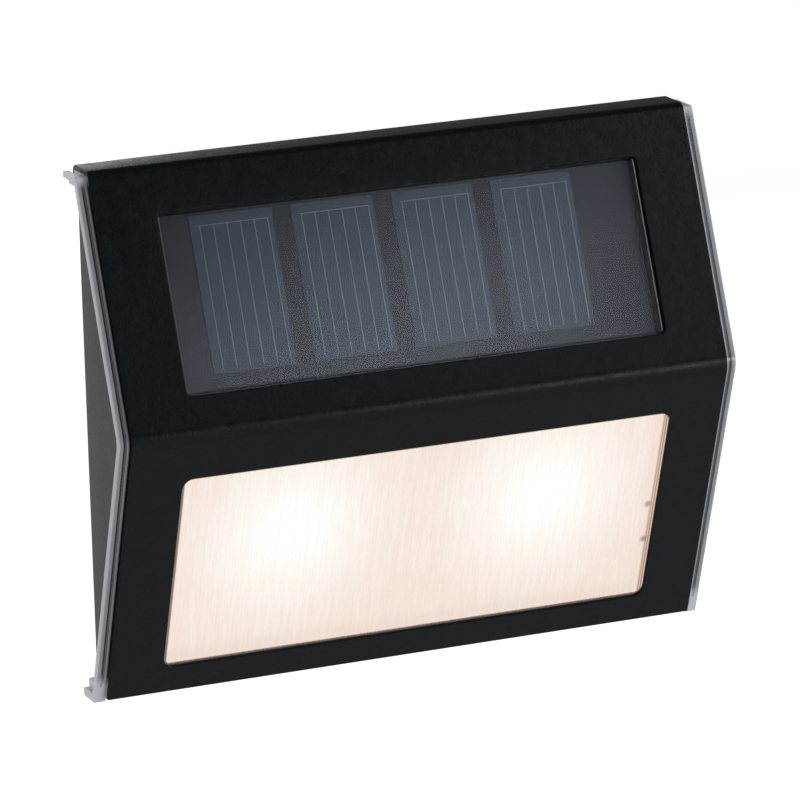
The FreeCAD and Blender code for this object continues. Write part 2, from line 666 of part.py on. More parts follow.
def door_half(grow):
    """Return the door's half length and half height, made larger by grow."""
    return DOOR_LENGTH / 2 + grow, DOOR_HEIGHT / 2 + grow


def contact_tabs(grow):
    """Return the two tabs that leave the bay through its floor, made larger by grow."""
    tabs = []
    inner = BAY_LENGTH / 2 - LAYER_GAP - CONTACT_THICKNESS - grow
    outer = BAY_LENGTH / 2 - LAYER_GAP + grow
    y_range = (BATTERY_Y - TAB_WIDTH / 2 - grow, BATTERY_Y + TAB_WIDTH / 2 + grow)
    z_range = (BAY_FLOOR_Z - BAY_WALL - TAB_REACH - grow, BATTERY_Z)
    tabs.append(block((inner, outer), y_range, z_range))
    tabs.append(block((-outer, -inner), y_range, z_range))
    return tabs


def housing_additions():
    """Return what stands on the inside of the rear wall."""
    pad_front = RECESS_FLOOR_Y - LEDGE_THICKNESS
    root = -REAR_WALL / 2
    parts = [
        centred(DOOR_MIDDLE, bay_half(BAY_WALL), (BAY_FRONT_Y - BAY_WALL, root)),
        centred(DOOR_MIDDLE, door_half(DOOR_GAP + DOOR_PAD_MARGIN), (pad_front, root)),
    ]
    pocket_front = -(REAR_WALL + KEYHOLE_ROOM + POCKET_WALL)
    for x in both_sides(KEYHOLE_SPACING / 2):
        parts.append(keyhole_pocket(x, POCKET_WALL, (pocket_front, root)))
    for x, z in case_screw_places():
        parts.append(rod(x, z, COLUMN_RADIUS, (-COLUMN_DEPTH, root)))
    for x, z in control_posts():
        parts.append(rod(x, z, CONTROL_POST_RADIUS, (CONTROL_BACK_Y, root)))
    boss_front = -(DOOR_SET_BACK + DOOR_HEAD_SINK + DOOR_SCREW_LENGTH + HOUSING_WALL / 2)
    for x in both_sides(DOOR_SCREW_X):
        parts.append(rod(x, BATTERY_Z, DOOR_BOSS_RADIUS, (boss_front, root)))
    return parts + tray_posts()


def housing_cuts():
    """Return what is taken out of the rear wall and of what stands on it."""
    mouth = (RECESS_FLOOR_Y, OVERCUT)
    cuts = [
        centred(DOOR_MIDDLE, bay_half(0.0), (BAY_FRONT_Y, OVERCUT)),
        centred(DOOR_MIDDLE, door_half(DOOR_GAP), mouth),
        centred((0.0, CONTROL_Z), (SWITCH_RECESS_LENGTH / 2, SWITCH_RECESS_HEIGHT / 2),
                (-SWITCH_RECESS_DEPTH, OVERCUT)),
        knob_room((-REAR_WALL - OVERCUT, OVERCUT)),
    ]
    for x in both_sides(KEYHOLE_SPACING / 2):
        cuts.append(keyhole_pocket(x, 0.0, (-(REAR_WALL + KEYHOLE_ROOM), -REAR_WALL)))
        cuts.append(keyhole_cut(x))
    for x, z in case_screw_places():
        cuts.append(rod(x, z, CASE_SCREW[1] + HEAD_GAP, (-CASE_HEAD_SEAT, OVERCUT)))
        cuts.append(rod(x, z, CASE_SCREW[0] + SCREW_GAP, (-COLUMN_DEPTH - OVERCUT, OVERCUT)))
    for x, z in control_posts()[:2]:
        tip = CONTROL_FRONT_Y + BOARD_SCREW_LENGTH + HEAD_GAP
        cuts.append(rod(x, z, BOARD_SCREW[0] + SCREW_GAP, (CONTROL_FRONT_Y, tip)))
    screw_tip = -(DOOR_SET_BACK + DOOR_HEAD_SINK + DOOR_SCREW_LENGTH + HEAD_GAP)
    for x in both_sides(DOOR_SCREW_X):
        cuts.append(rod(x, BATTERY_Z, CASE_SCREW[0] + 2 * SCREW_GAP, (screw_tip, OVERCUT)))
    return cuts + contact_tabs(3 * SCREW_GAP)


def rear_housing():
    """Dark tray: cheeks, flange, battery bay, keyhole pockets, columns and posts."""
    return without(joined([housing_tray()] + housing_additions()), housing_cuts())


def housing_gasket():
    """Seal between the housing's front and the shell's skin."""
    return gasket_seat(GASKET_FIT).cut(housing_opening(0.0, SHELL_INSET))


# --- Screws ---
def screw(x, z, sizes, seat_y, length, into):
    """Return a screw whose head sits at seat_y; into is -1 towards the front, +1 towards the wall."""
    shank_radius, head_radius, head_height = sizes
    shank = rod(x, z, shank_radius, tuple(sorted((seat_y, seat_y + into * length))))
    head = rod(x, z, head_radius, tuple(sorted((seat_y, seat_y - into * head_height))))
    slot_depth = head_height / 2
    slot_y = tuple(sorted((seat_y - into * slot_depth, seat_y - into * head_height * 2)))
    arm = head_radius * CROSS_REACH
    width = head_radius * CROSS_HALF_WIDTH
    cross = [centred((x, z), (arm, width), slot_y), centred((x, z), (width, arm), slot_y)]
    return without(joined([shank, head]), cross)


def housing_screws():
    """Four case screws in the back's counterbores."""
    places = case_screw_places()
    return Part.Compound([screw(x, z, CASE_SCREW, -CASE_HEAD_SEAT, CASE_SCREW_LENGTH, -1)
                          for x, z in places])


def door_screws():
    """Two screws of the battery door."""
    seat = -(DOOR_SET_BACK + DOOR_HEAD_SINK)
    sizes = (CASE_SCREW[0], CASE_SCREW[1], DOOR_HEAD_SINK - DOOR_SET_BACK)
    return Part.Compound([screw(x, BATTERY_Z, sizes, seat, DOOR_SCREW_LENGTH, -1)
                          for x in both_sides(DOOR_SCREW_X)])


def board_screws():
    """Two screws of the control board, put in from its front."""
    return Part.Compound([screw(x, z, BOARD_SCREW, CONTROL_FRONT_Y, BOARD_SCREW_LENGTH, 1)
                          for x, z in control_posts()[:2]])


# --- Battery and door ---
def battery_cell():
    """Round cell with its positive nub to the right."""
    can = rod_along_x(BATTERY_RADIUS, (CAN_START_X, NUB_END_X - BATTERY_NUB_LENGTH))
    nub = rod_along_x(BATTERY_NUB_RADIUS, (NUB_END_X - BATTERY_NUB_LENGTH, NUB_END_X))
    return joined([can, nub])


def contact_plate(side):
    """Return a contact plate with its tab; side is +1 at the right end and -1 at the left."""
    far = BAY_LENGTH / 2 - LAYER_GAP
    x_range = tuple(sorted((side * far, side * (far - CONTACT_THICKNESS))))
    half = CONTACT_SIZE / 2
    square = block(x_range, (BATTERY_Y - half, BATTERY_Y + half), (BATTERY_Z - half, BATTERY_Z + half))
    tab = contact_tabs(0.0)[0 if side > 0 else 1]
    return joined([square, tab])


def battery_spring():
    """Coil between the negative plate and the cell."""
    start = -(BAY_LENGTH / 2 - LAYER_GAP - CONTACT_THICKNESS) + SPRING_WIRE_RADIUS
    height = CAN_START_X - BATTERY_ROOM - SPRING_WIRE_RADIUS - start
    helix = Part.makeHelix(height / SPRING_TURNS, height, SPRING_RADIUS)
    circle = Part.makeCircle(SPRING_WIRE_RADIUS, Vector(SPRING_RADIUS, 0, 0), Vector(0, 1, 0))
    coil = Part.Wire(helix.Edges).makePipeShell([Part.Wire(circle)], True, True)
    coil.rotate(Vector(0, 0, 0), Vector(0, 1, 0), 90)
    coil.translate(Vector(start, BATTERY_Y, BATTERY_Z))
    return coil


def battery_door():
    """Lid of the battery bay, flush in the back."""
    size = (DOOR_LENGTH, DOOR_HEIGHT, DOOR_THICKNESS)
    lid = rounded_box(size, DOOR_CORNER, DOOR_SET_BACK)
    lid.rotate(Vector(0, 0, 0), Vector(1, 0, 0), -90)
    lid.translate(Vector(-DOOR_LENGTH / 2, -(DOOR_SET_BACK + DOOR_THICKNESS), BATTERY_Z + DOOR_HEIGHT / 2))
    cuts = []
    for x in both_sides(DOOR_SCREW_X):
        cuts.append(rod(x, BATTERY_Z, CASE_SCREW[1] + HEAD_GAP, (-(DOOR_SET_BACK + DOOR_HEAD_SINK), OVERCUT)))
        cuts.append(rod(x, BATTERY_Z, CASE_SCREW[0] + 2 * SCREW_GAP, (-REAR_WALL * 2, OVERCUT)))
    return without(lid, cuts)


def door_gasket():
    """Seal on the door's inner face, round the bay."""
    back = -(DOOR_SET_BACK + DOOR_THICKNESS)
    y_range = (back - DOOR_GASKET_THICKNESS, back)
    outer = centred(DOOR_MIDDLE, bay_half(DOOR_GASKET_START + DOOR_GASKET_WIDTH), y_range)
    past = (y_range[0] - OVERCUT, y_range[1] + OVERCUT)
    return outer.cut(centred(DOOR_MIDDLE, bay_half(DOOR_GASKET_START), past))


# --- Control board ---
def control_board():
    """Board behind the lamp's tray."""
    half = (CONTROL_LENGTH / 2, CONTROL_HEIGHT / 2)
    board = centred((0.0, CONTROL_Z), half, (CONTROL_FRONT_Y, CONTROL_BACK_Y))
    holes = [rod(x, z, BOARD_SCREW[0] + SCREW_GAP, (CONTROL_FRONT_Y - OVERCUT, CONTROL_BACK_Y + OVERCUT))
             for x, z in control_posts()[:2]]
    return without(board, holes)


def control_chip():
    """Charge and dusk controller."""
    length, depth, height = CHIP_SIZE
    middle = (CHIP_X, CONTROL_Z + PART_Z)
    return centred(middle, (length / 2, height / 2), (CONTROL_FRONT_Y - depth, CONTROL_FRONT_Y))


def storage_coil():
    """Drum coil of the boost circuit."""
    front = CONTROL_FRONT_Y - COIL_HEIGHT
    z = CONTROL_Z + PART_Z
    drum = rod(0.0, z, COIL_RADIUS, (front, CONTROL_FRONT_Y))
    waist = rod(0.0, z, COIL_RADIUS + OVERCUT, (front + COIL_FLANGE, CONTROL_FRONT_Y - COIL_FLANGE))
    core = rod(0.0, z, COIL_RADIUS - COIL_WAIST_DEPTH, (front, CONTROL_FRONT_Y))
    return drum.cut(waist.cut(core))


def smoothing_capacitor():
    """Upright can capacitor."""
    y_range = (CONTROL_FRONT_Y - CAPACITOR_HEIGHT, CONTROL_FRONT_Y)
    return rod(CAPACITOR_X, CONTROL_Z + PART_Z, CAPACITOR_RADIUS, y_range)


def knob_room(y_range):
    """Return the slot that the knob travels in."""
    half_length = SWITCH_TRAVEL / 2 + KNOB_LENGTH / 2 + KNOB_GAP
    return centred((0.0, CONTROL_Z), (half_length, KNOB_HEIGHT / 2 + KNOB_GAP), y_range)


def switch_body():
    """Slide switch on the control board's back."""
    back = CONTROL_BACK_Y + SWITCH_DEPTH
    half = (SWITCH_LENGTH / 2, SWITCH_HEIGHT / 2)
    body = centred((0.0, CONTROL_Z), half, (CONTROL_BACK_Y, back))
    return body.cut(knob_room((back - KNOB_ROOT - KNOB_GAP, back + OVERCUT)))


def switch_knob():
    """Knob of the slide switch, at ON."""
    back = CONTROL_BACK_Y + SWITCH_DEPTH
    half = (KNOB_LENGTH / 2, KNOB_HEIGHT / 2)
    return centred((KNOB_X, CONTROL_Z), half, (back - KNOB_ROOT, -KNOB_SET_BACK))


# --- Wires ---
def wire_edges(points):
    """Return straight runs joined by tangent arcs, as large as the runs allow."""
    edges = []
    start = points[0]
    for before, corner, after in zip(points, points[1:], points[2:]):
        incoming = before - corner
        outgoing = after - corner
        reach = BEND_SHARE * min(incoming.Length, outgoing.Length)
        incoming.normalize()
        outgoing.normalize()
        half = incoming.getAngle(outgoing) / 2
        radius = reach * math.tan(half)
        middle = corner + (incoming + outgoing).normalize() * (radius / math.sin(half) - radius)
        arc_start = corner + incoming * reach
        arc_end = corner + outgoing * reach
        edges.append(Part.LineSegment(start, arc_start).toShape())
        edges.append(Part.Arc(arc_start, middle, arc_end).toShape())
        start = arc_end
    edges.append(Part.LineSegment(start, points[-1]).toShape())
    return edges


def wire(points):
    """Return a round insulated wire along a route."""
    path = Part.Wire(wire_edges(points))
    circle = Part.makeCircle(WIRE_RADIUS, points[0], points[1] - points[0])
    return path.makePipeShell([Part.Wire(circle)], True, False)


def panel_wire(side):
    """Wire from the solar board's back, past the end of the bay, to the control board."""
    x = side * PANEL_WIRE_X
    end = Vector(side * PANEL_WIRE_END_X, CONTROL_FRONT_Y, CONTROL_Z + PART_Z)
    lead = on_face(UPPER, x, PANEL_WIRE_DROP, BOARD_BACK - WIRE_LEAD)
    above = end - Vector(0, 1.5 * WIRE_LEAD, 0)
    return wire([
        on_face(UPPER, x, PANEL_WIRE_DROP, BOARD_BACK),
        lead,
        Vector(x, CONTROL_FRONT_Y - 3 * WIRE_LEAD, (lead.z + end.z) / 2),
        Vector(x - side * 2.5 * WIRE_LEAD, above.y, above.z),
        above,
        end,
    ])


def led_wire(side):
    """Wire from the light strip's back to the control board."""
    x = side * LED_WIRE_X
    down = LED_DROP - LED_BOARD_HEIGHT / 4
    start = on_face(LOWER, x, down, LED_BOARD_BACK)
    lead = on_face(LOWER, x, down, LED_BOARD_BACK - WIRE_LEAD)
    end = Vector(x, CONTROL_FRONT_Y, CONTROL_Z - CONTROL_HEIGHT / 8)
    return wire([start, lead, end - Vector(0, WIRE_LEAD, 0), end])


def battery_wire(side):
    """Wire from a contact's tab to the control board."""
    tab_x = side * (BAY_LENGTH / 2 - LAYER_GAP - CONTACT_THICKNESS / 2)
    tab_z = BAY_FLOOR_Z - BAY_WALL - TAB_REACH
    end_x = side * BATTERY_WIRE_X
    end_z = CONTROL_Z + CONTROL_HEIGHT / 2 - WIRE_LEAD
    front = CONTROL_FRONT_Y - 1.5 * WIRE_LEAD
    return wire([
        Vector(tab_x, BATTERY_Y, tab_z),
        Vector(tab_x, BATTERY_Y, tab_z - 1.5 * WIRE_LEAD),
        Vector(tab_x - side * 3 * WIRE_LEAD, front, end_z),
        Vector(end_x, front, end_z),
        Vector(end_x, CONTROL_FRONT_Y, end_z),
    ])


def all_parts():
    """Return every sub-part by name."""
    parts = {
        "front_cover": front_cover(),
        "cover_tape": cover_tape(),
        "clear_shell": clear_shell(),
        "solar_board": solar_board(),
        "panel_seal": panel_seal(),
        "lamp_diffuser": lamp_diffuser(),
        "reflector": reflector(),
        "led_board": led_board(),
        "rear_housing": rear_housing(),
        "housing_gasket": housing_gasket(),
        "housing_screws": housing_screws(),
        "battery_cell": battery_cell(),
        "battery_plate_positive": contact_plate(1),
        "battery_plate_negative": contact_plate(-1),
        "battery_spring": battery_spring(),
        "battery_door": battery_door(),
        "door_gasket": door_gasket(),
        "door_screws": door_screws(),
        "control_board": control_board(),
        "board_screws": board_screws(),
        "control_chip": control_chip(),
        "storage_coil": storage_coil(),
        "smoothing_capacitor": smoothing_capacitor(),
        "switch_body": switch_body(),
        "switch_knob": switch_knob(),
    }
    for index in range(CELL_COUNT):
        parts[f"solar_cell_{index + 1}"] = solar_cell(index)
    for name, x in led_places().items():
        parts[name] = led(x)
    for name, side in (("red", 1), ("black", -1)):
        parts[f"panel_wire_{name}"] = panel_wire(side)
        parts[f"led_wire_{name}"] = led_wire(side)
        parts[f"battery_wire_{name}"] = battery_wire(side)
    return parts


def main():
    """Write one STEP file for each sub-part."""
    os.makedirs("parts", exist_ok=True)
    for name, shape in all_parts().items():
        shape.exportStep(f"parts/{name}.step")


main()
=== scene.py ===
from dataclasses import dataclass
from enum import Enum
from functools import cache
import logging
import math
import random

import bmesh
import bpy
from bpy.types import Material, Node, NodeSocket, Object, World
from mathutils import Matrix, Vector, noise


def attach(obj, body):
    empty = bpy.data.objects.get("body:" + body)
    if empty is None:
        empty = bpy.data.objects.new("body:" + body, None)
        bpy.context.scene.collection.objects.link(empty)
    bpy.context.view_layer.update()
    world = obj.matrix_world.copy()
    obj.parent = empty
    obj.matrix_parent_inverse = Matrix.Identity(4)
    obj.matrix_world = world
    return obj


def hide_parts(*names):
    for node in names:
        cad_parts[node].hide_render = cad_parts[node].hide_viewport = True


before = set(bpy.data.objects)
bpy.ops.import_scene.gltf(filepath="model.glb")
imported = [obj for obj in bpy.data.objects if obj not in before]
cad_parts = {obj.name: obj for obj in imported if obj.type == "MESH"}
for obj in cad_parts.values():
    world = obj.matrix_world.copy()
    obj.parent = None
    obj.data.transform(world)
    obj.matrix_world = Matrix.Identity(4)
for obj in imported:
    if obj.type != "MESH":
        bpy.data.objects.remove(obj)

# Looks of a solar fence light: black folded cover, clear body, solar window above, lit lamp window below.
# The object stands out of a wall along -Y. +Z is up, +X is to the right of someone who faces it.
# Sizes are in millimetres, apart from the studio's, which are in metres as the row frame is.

LOG = logging.getLogger("fence_light")
MM = 0.001
WELD_GAP = 1e-6
HOUSING, BATTERY, KNOB = "housing", "battery", "switch_knob"

Triple = tuple[float, float, float]
Profile = list[tuple[float, float]]
Stops = tuple[tuple[float, str], ...]                 # places from 0 to 1 with their sRGB hex colours
Skin = tuple[list[Vector], list[list[int]]]           # points in metres, and the corner numbers of faces
Station = tuple[float, float, float, float, float]    # distance along a path, y, z, outward y and z
Source = Node | NodeSocket                            # a node stands for its first output


# ------------------------------------------------------------------ the dog-leg

class Face(Enum):
    """The two flat faces of the dog-leg."""

    UPPER = "upper"
    LOWER = "lower"


@dataclass(frozen=True)
class Dogleg:
    """Side view of the light: depths from the wall, drops from the top."""

    top: float = 30.0
    fold_depth: float = 8.7
    knee_depth: float = 26.0
    knee_drop: float = 44.6
    foot_depth: float = 8.1
    foot_drop: float = 95.5

    def ends(self, face: Face) -> tuple[tuple[float, float], tuple[float, float]]:
        """Find where a face starts and stops.

        Args:
            face: which face.

        Returns:
            The (y, z) of its upper and lower end, as if the bends were sharp.
        """
        fold = (-self.fold_depth, self.top)
        knee = (-self.knee_depth, self.top - self.knee_drop)
        foot = (-self.foot_depth, self.top - self.foot_drop)
        return (fold, knee) if face is Face.UPPER else (knee, foot)

    def length(self, face: Face) -> float:
        """Return a face's length between its sharp ends."""
        return math.dist(*self.ends(face))

    def point(self, face: Face, x: float, down: float, out: float) -> Vector:
        """Find a point by its place on a face.

        Args:
            face: which face.
            x: across, to the right.
            down: below the face's upper end.
            out: away from the wall.

        Returns:
            The point in metres, in the row frame.
        """
        (y0, z0), (y1, z1) = self.ends(face)
        length = self.length(face)
        along = ((y1 - y0) / length, (z1 - z0) / length)
        away = (along[1], -along[0])
        return Vector((x, y0 + along[0] * down + away[0] * out, z0 + along[1] * down + away[1] * out)) * MM


# ------------------------------------------------------------------ colours and shader nodes

def srgb(code: str) -> tuple[float, float, float, float]:
    """Turn an sRGB hex value into a linear colour.

    Args:
        code: six hex digits.

    Returns:
        Red, green, blue and alpha, linear.
    """
    channels = [int(code[i:i + 2], 16) / 255 for i in (0, 2, 4)]
    linear = [c / 12.92 if c <= 0.04045 else ((c + 0.055) / 1.055) ** 2.4 for c in channels]
    return (*linear, 1.0)


class Graph:
    """A node tree in the making."""

    def open(self, owner: Material | World) -> None:
        """Empty the node tree of a material or a world, to fill it.

        Args:
            owner: the material or world.
        """
        owner.use_nodes = True
        self.tree = owner.node_tree
        self.tree.nodes.clear()

    def join(self, source: Source, target: NodeSocket) -> None:
        """Link a socket, or a node's first output, to an input."""
        self.tree.links.new(source.outputs[0] if isinstance(source, Node) else source, target)

    def add(self, kind: str, settings: dict | None = None, links: dict | None = None) -> Node:
        """Add a shader node with its settings and links.

        Args:
            kind: the node's type name, without its prefix.
            settings: input or attribute names, or input numbers, and their values; "stops" are a ramp's.
            links: input names or numbers and what feeds them.

        Returns:
            The new node.
        """
        node = self.tree.nodes.new("ShaderNode" + kind)
        inputs = {socket.name for socket in node.inputs}
        for key, value in (settings or {}).items():
            if key == "stops":
                elements = node.color_ramp.elements
                while len(elements) < len(value):
                    elements.new(0.5)
                for element, (place, code) in zip(elements, value):
                    element.position = place
                    element.color = srgb(code)
            elif isinstance(key, int) or key in inputs:
                node.inputs[key].default_value = value
            else:
                setattr(node, key, value)
        for key, source in (links or {}).items():
            self.join(source, node.inputs[key])
        return node


class Surface(Graph):
    """A material in the making: its tree, its Principled shader and its object coordinates."""

    def __init__(self, name: str, colour: str, roughness: float) -> None:
        """Start with the plain shader.

        Args:
            name: the material's name.
            colour: its sRGB hex colour.
            roughness: 0 for a mirror, 1 for chalk.
        """
        self.roughness = roughness
        self.material = bpy.data.materials.new(name)
        self.material.diffuse_color = srgb(colour)
        self.open(self.material)
        self.shader = self.add("BsdfPrincipled", {"Base Color": srgb(colour), "Roughness": roughness})
        self.output = self.add("OutputMaterial", links={"Surface": self.shader})
        self.place = self.add("TexCoord").outputs["Object"]

    def axis(self, letter: str) -> NodeSocket:
        """Return one of the object coordinates."""
        return self.add("SeparateXYZ", links={0: self.place}).outputs[letter]

    def put(self, values: dict[str, float]) -> None:
        """Set plain values on the shader."""
        for socket, value in values.items():
            self.shader.inputs[socket].default_value = value

    def feed(self, socket: str, source: Source) -> None:
        """Link a source to one of the shader's inputs."""
        self.join(source, self.shader.inputs[socket])

    def grain(self, size_mm: float, detail: float = 2.0, stretch: Triple = (1, 1, 1)) -> NodeSocket:
        """Add a noise with grains of a real size.

        Args:
            size_mm: size of one grain.
            detail: how many finer layers it has.
            stretch: scale factors along X, Y and Z.

        Returns:
            The noise's value.
        """
        scaled = self.add("Mapping", {"Scale": stretch}, {"Vector": self.place})
        settings = {"Scale": 1 / (size_mm * MM), "Detail": detail}
        return self.add("TexNoise", settings, {"Vector": scaled}).outputs["Fac"]

    def vary_gloss(self, value: Source, down: float, up: float) -> None:
        """Let the roughness wander with a noise.

        Args:
            value: the noise, which mostly stays between 0.3 and 0.7.
            down: what its low end adds to the roughness.
            up: what its high end adds.
        """
        self.feed("Roughness", self.add("MapRange", {
            "From Min": 0.3, "From Max": 0.7, "To Min": self.roughness + down,
            "To Max": self.roughness + up}, {"Value": value}))

    def bump(self, *layers: tuple[Source, float]) -> None:
        """Stack bump layers on the shader.

        Args:
            layers: heights from 0 to 1, each with its depth in millimetres.
        """
        links: dict[str, Source] = {}
        for height, depth_mm in layers:
            links["Height"] = height
            links["Normal"] = self.add("Bump", {"Strength": 1.0, "Distance": depth_mm * MM}, links)
        self.feed("Normal", links["Normal"])


# ------------------------------------------------------------------ finishes

@dataclass(frozen=True)
class Finish:
    """What every finish has: a name, a colour and a roughness."""

    name: str
    colour: str
    roughness: float = 0.5

    def apply(self, made: Surface) -> None:
        """Add what makes the finish to its plain shader."""
        raise NotImplementedError(self.name)

    def build(self) -> Material:
        """Make the material.

        Returns:
            The material.
        """
        made = Surface(self.name, self.colour, self.roughness)
        self.apply(made)
        return made.material


@dataclass(frozen=True)
class Grained(Finish):
    """A fine grain over a slow cloud of two shades, which keeps wide faces from looking flat."""

    # real grain is about 0.1 mm; where it should show it is drawn three to five times coarser
    grain_mm: float = 0.5
    depth_mm: float = 0.02
    shade: str = ""
    stretch: Triple = (1, 1, 1)
    detail: float = 2.0
    cloud_mm: float = 12.0
    wander: tuple[float, float] = (-0.05, 0.05)

    def apply(self, made: Surface) -> None:
        """Let the grain dull the surface, and the cloud tint it.

        Args:
            made: the material in the making.
        """
        grain = made.grain(self.grain_mm, self.detail, self.stretch)
        if self.shade:
            made.feed("Base Color", made.add("ValToRGB", {"stops": ((0.3, self.colour), (0.7, self.shade))},
                                             {"Fac": made.grain(self.cloud_mm)}))
        made.vary_gloss(grain, *self.wander)
        made.bump((grain, self.depth_mm))


@dataclass(frozen=True)
class MouldedPlastic(Grained):
    """ABS and its kin, injection moulded: spark-eroded grain or a plain gloss."""

    specular: float = 0.5
    # rear is a painted highlight towards the wall's side, where the rounded rear edge catches the light
    rear: str = ""
    rear_ends: float = 8.0

    def apply(self, made: Surface) -> None:
        """Paint it paler towards the wall's side: a painted highlight where the rounded rear edge catches the
        light.

        Args:
            made: the material in the making.
        """
        super().apply(made)
        made.put({"IOR": 1.52, "Specular IOR Level": self.specular})
        if self.rear:
            rear_highlight = made.add("MapRange", {"From Min": -self.rear_ends * MM, "From Max": 0.0},
                            {"Value": made.axis("Y")})
            tint = made.shader.inputs["Base Color"].links[0].from_socket
            mix = made.add("Mix", {"data_type": "RGBA", 7: srgb(self.rear)}, {0: rear_highlight, 6: tint})
            made.feed("Base Color", mix.outputs[2])


@dataclass(frozen=True)
class PlatedMetal(Grained):
    """Steel, nickel or aluminium, drawn or rolled: fine lines pull its reflections out along them."""

    depth_mm: float = 0.006
    cloud_mm: float = 5.0
    wander: tuple[float, float] = (-0.06, 0.1)

    def apply(self, made: Surface) -> None:
        """Turn the grain's shader to metal."""
        super().apply(made)
        made.put({"Metallic": 1.0})


@dataclass(frozen=True)
class SoftPolymer(Grained):
    """Silicone, foam and PVC, moulded or extruded: dull, with a faint sheen for its bloom."""

    grain_mm: float = 0.4
    detail: float = 3.0
    wander: tuple[float, float] = (-0.06, 0.06)
    bloom: float = 0.15
    specular: float = 0.35

    def apply(self, made: Surface) -> None:
        """Add the bloom."""
        super().apply(made)
        made.put({"Sheen Weight": self.bloom, "Specular IOR Level": self.specular})


@dataclass(frozen=True)
class PowderCoat(Finish):
    """Polyester powder on steel, sprayed and baked: a fine sandy skin over a slow orange peel."""

    # real powder grains are near 0.05 mm; they are drawn coarser so that they show
    sand_mm: float = 0.42
    sand_depth: float = 0.02
    peel_mm: float = 2.4
    peel_depth: float = 0.03
    shades: Stops = ((0.3, "080C10"), (0.7, "10161A"))
    wander: float = 0.04
    specular: float = 0.08

    def apply(self, made: Surface) -> None:
        """Let the sand break up highlights, and the peel make them wander.

        Args:
            made: the material in the making.
        """
        sand, peel = made.grain(self.sand_mm, 1.0), made.grain(self.peel_mm, 1.0)
        made.feed("Base Color", made.add("ValToRGB", {"stops": self.shades}, {"Fac": sand}))
        made.vary_gloss(peel, -self.wander, self.wander)
        made.put({"IOR": 1.5, "Specular IOR Level": self.specular})
        made.bump((peel, self.peel_depth), (sand, self.sand_depth))


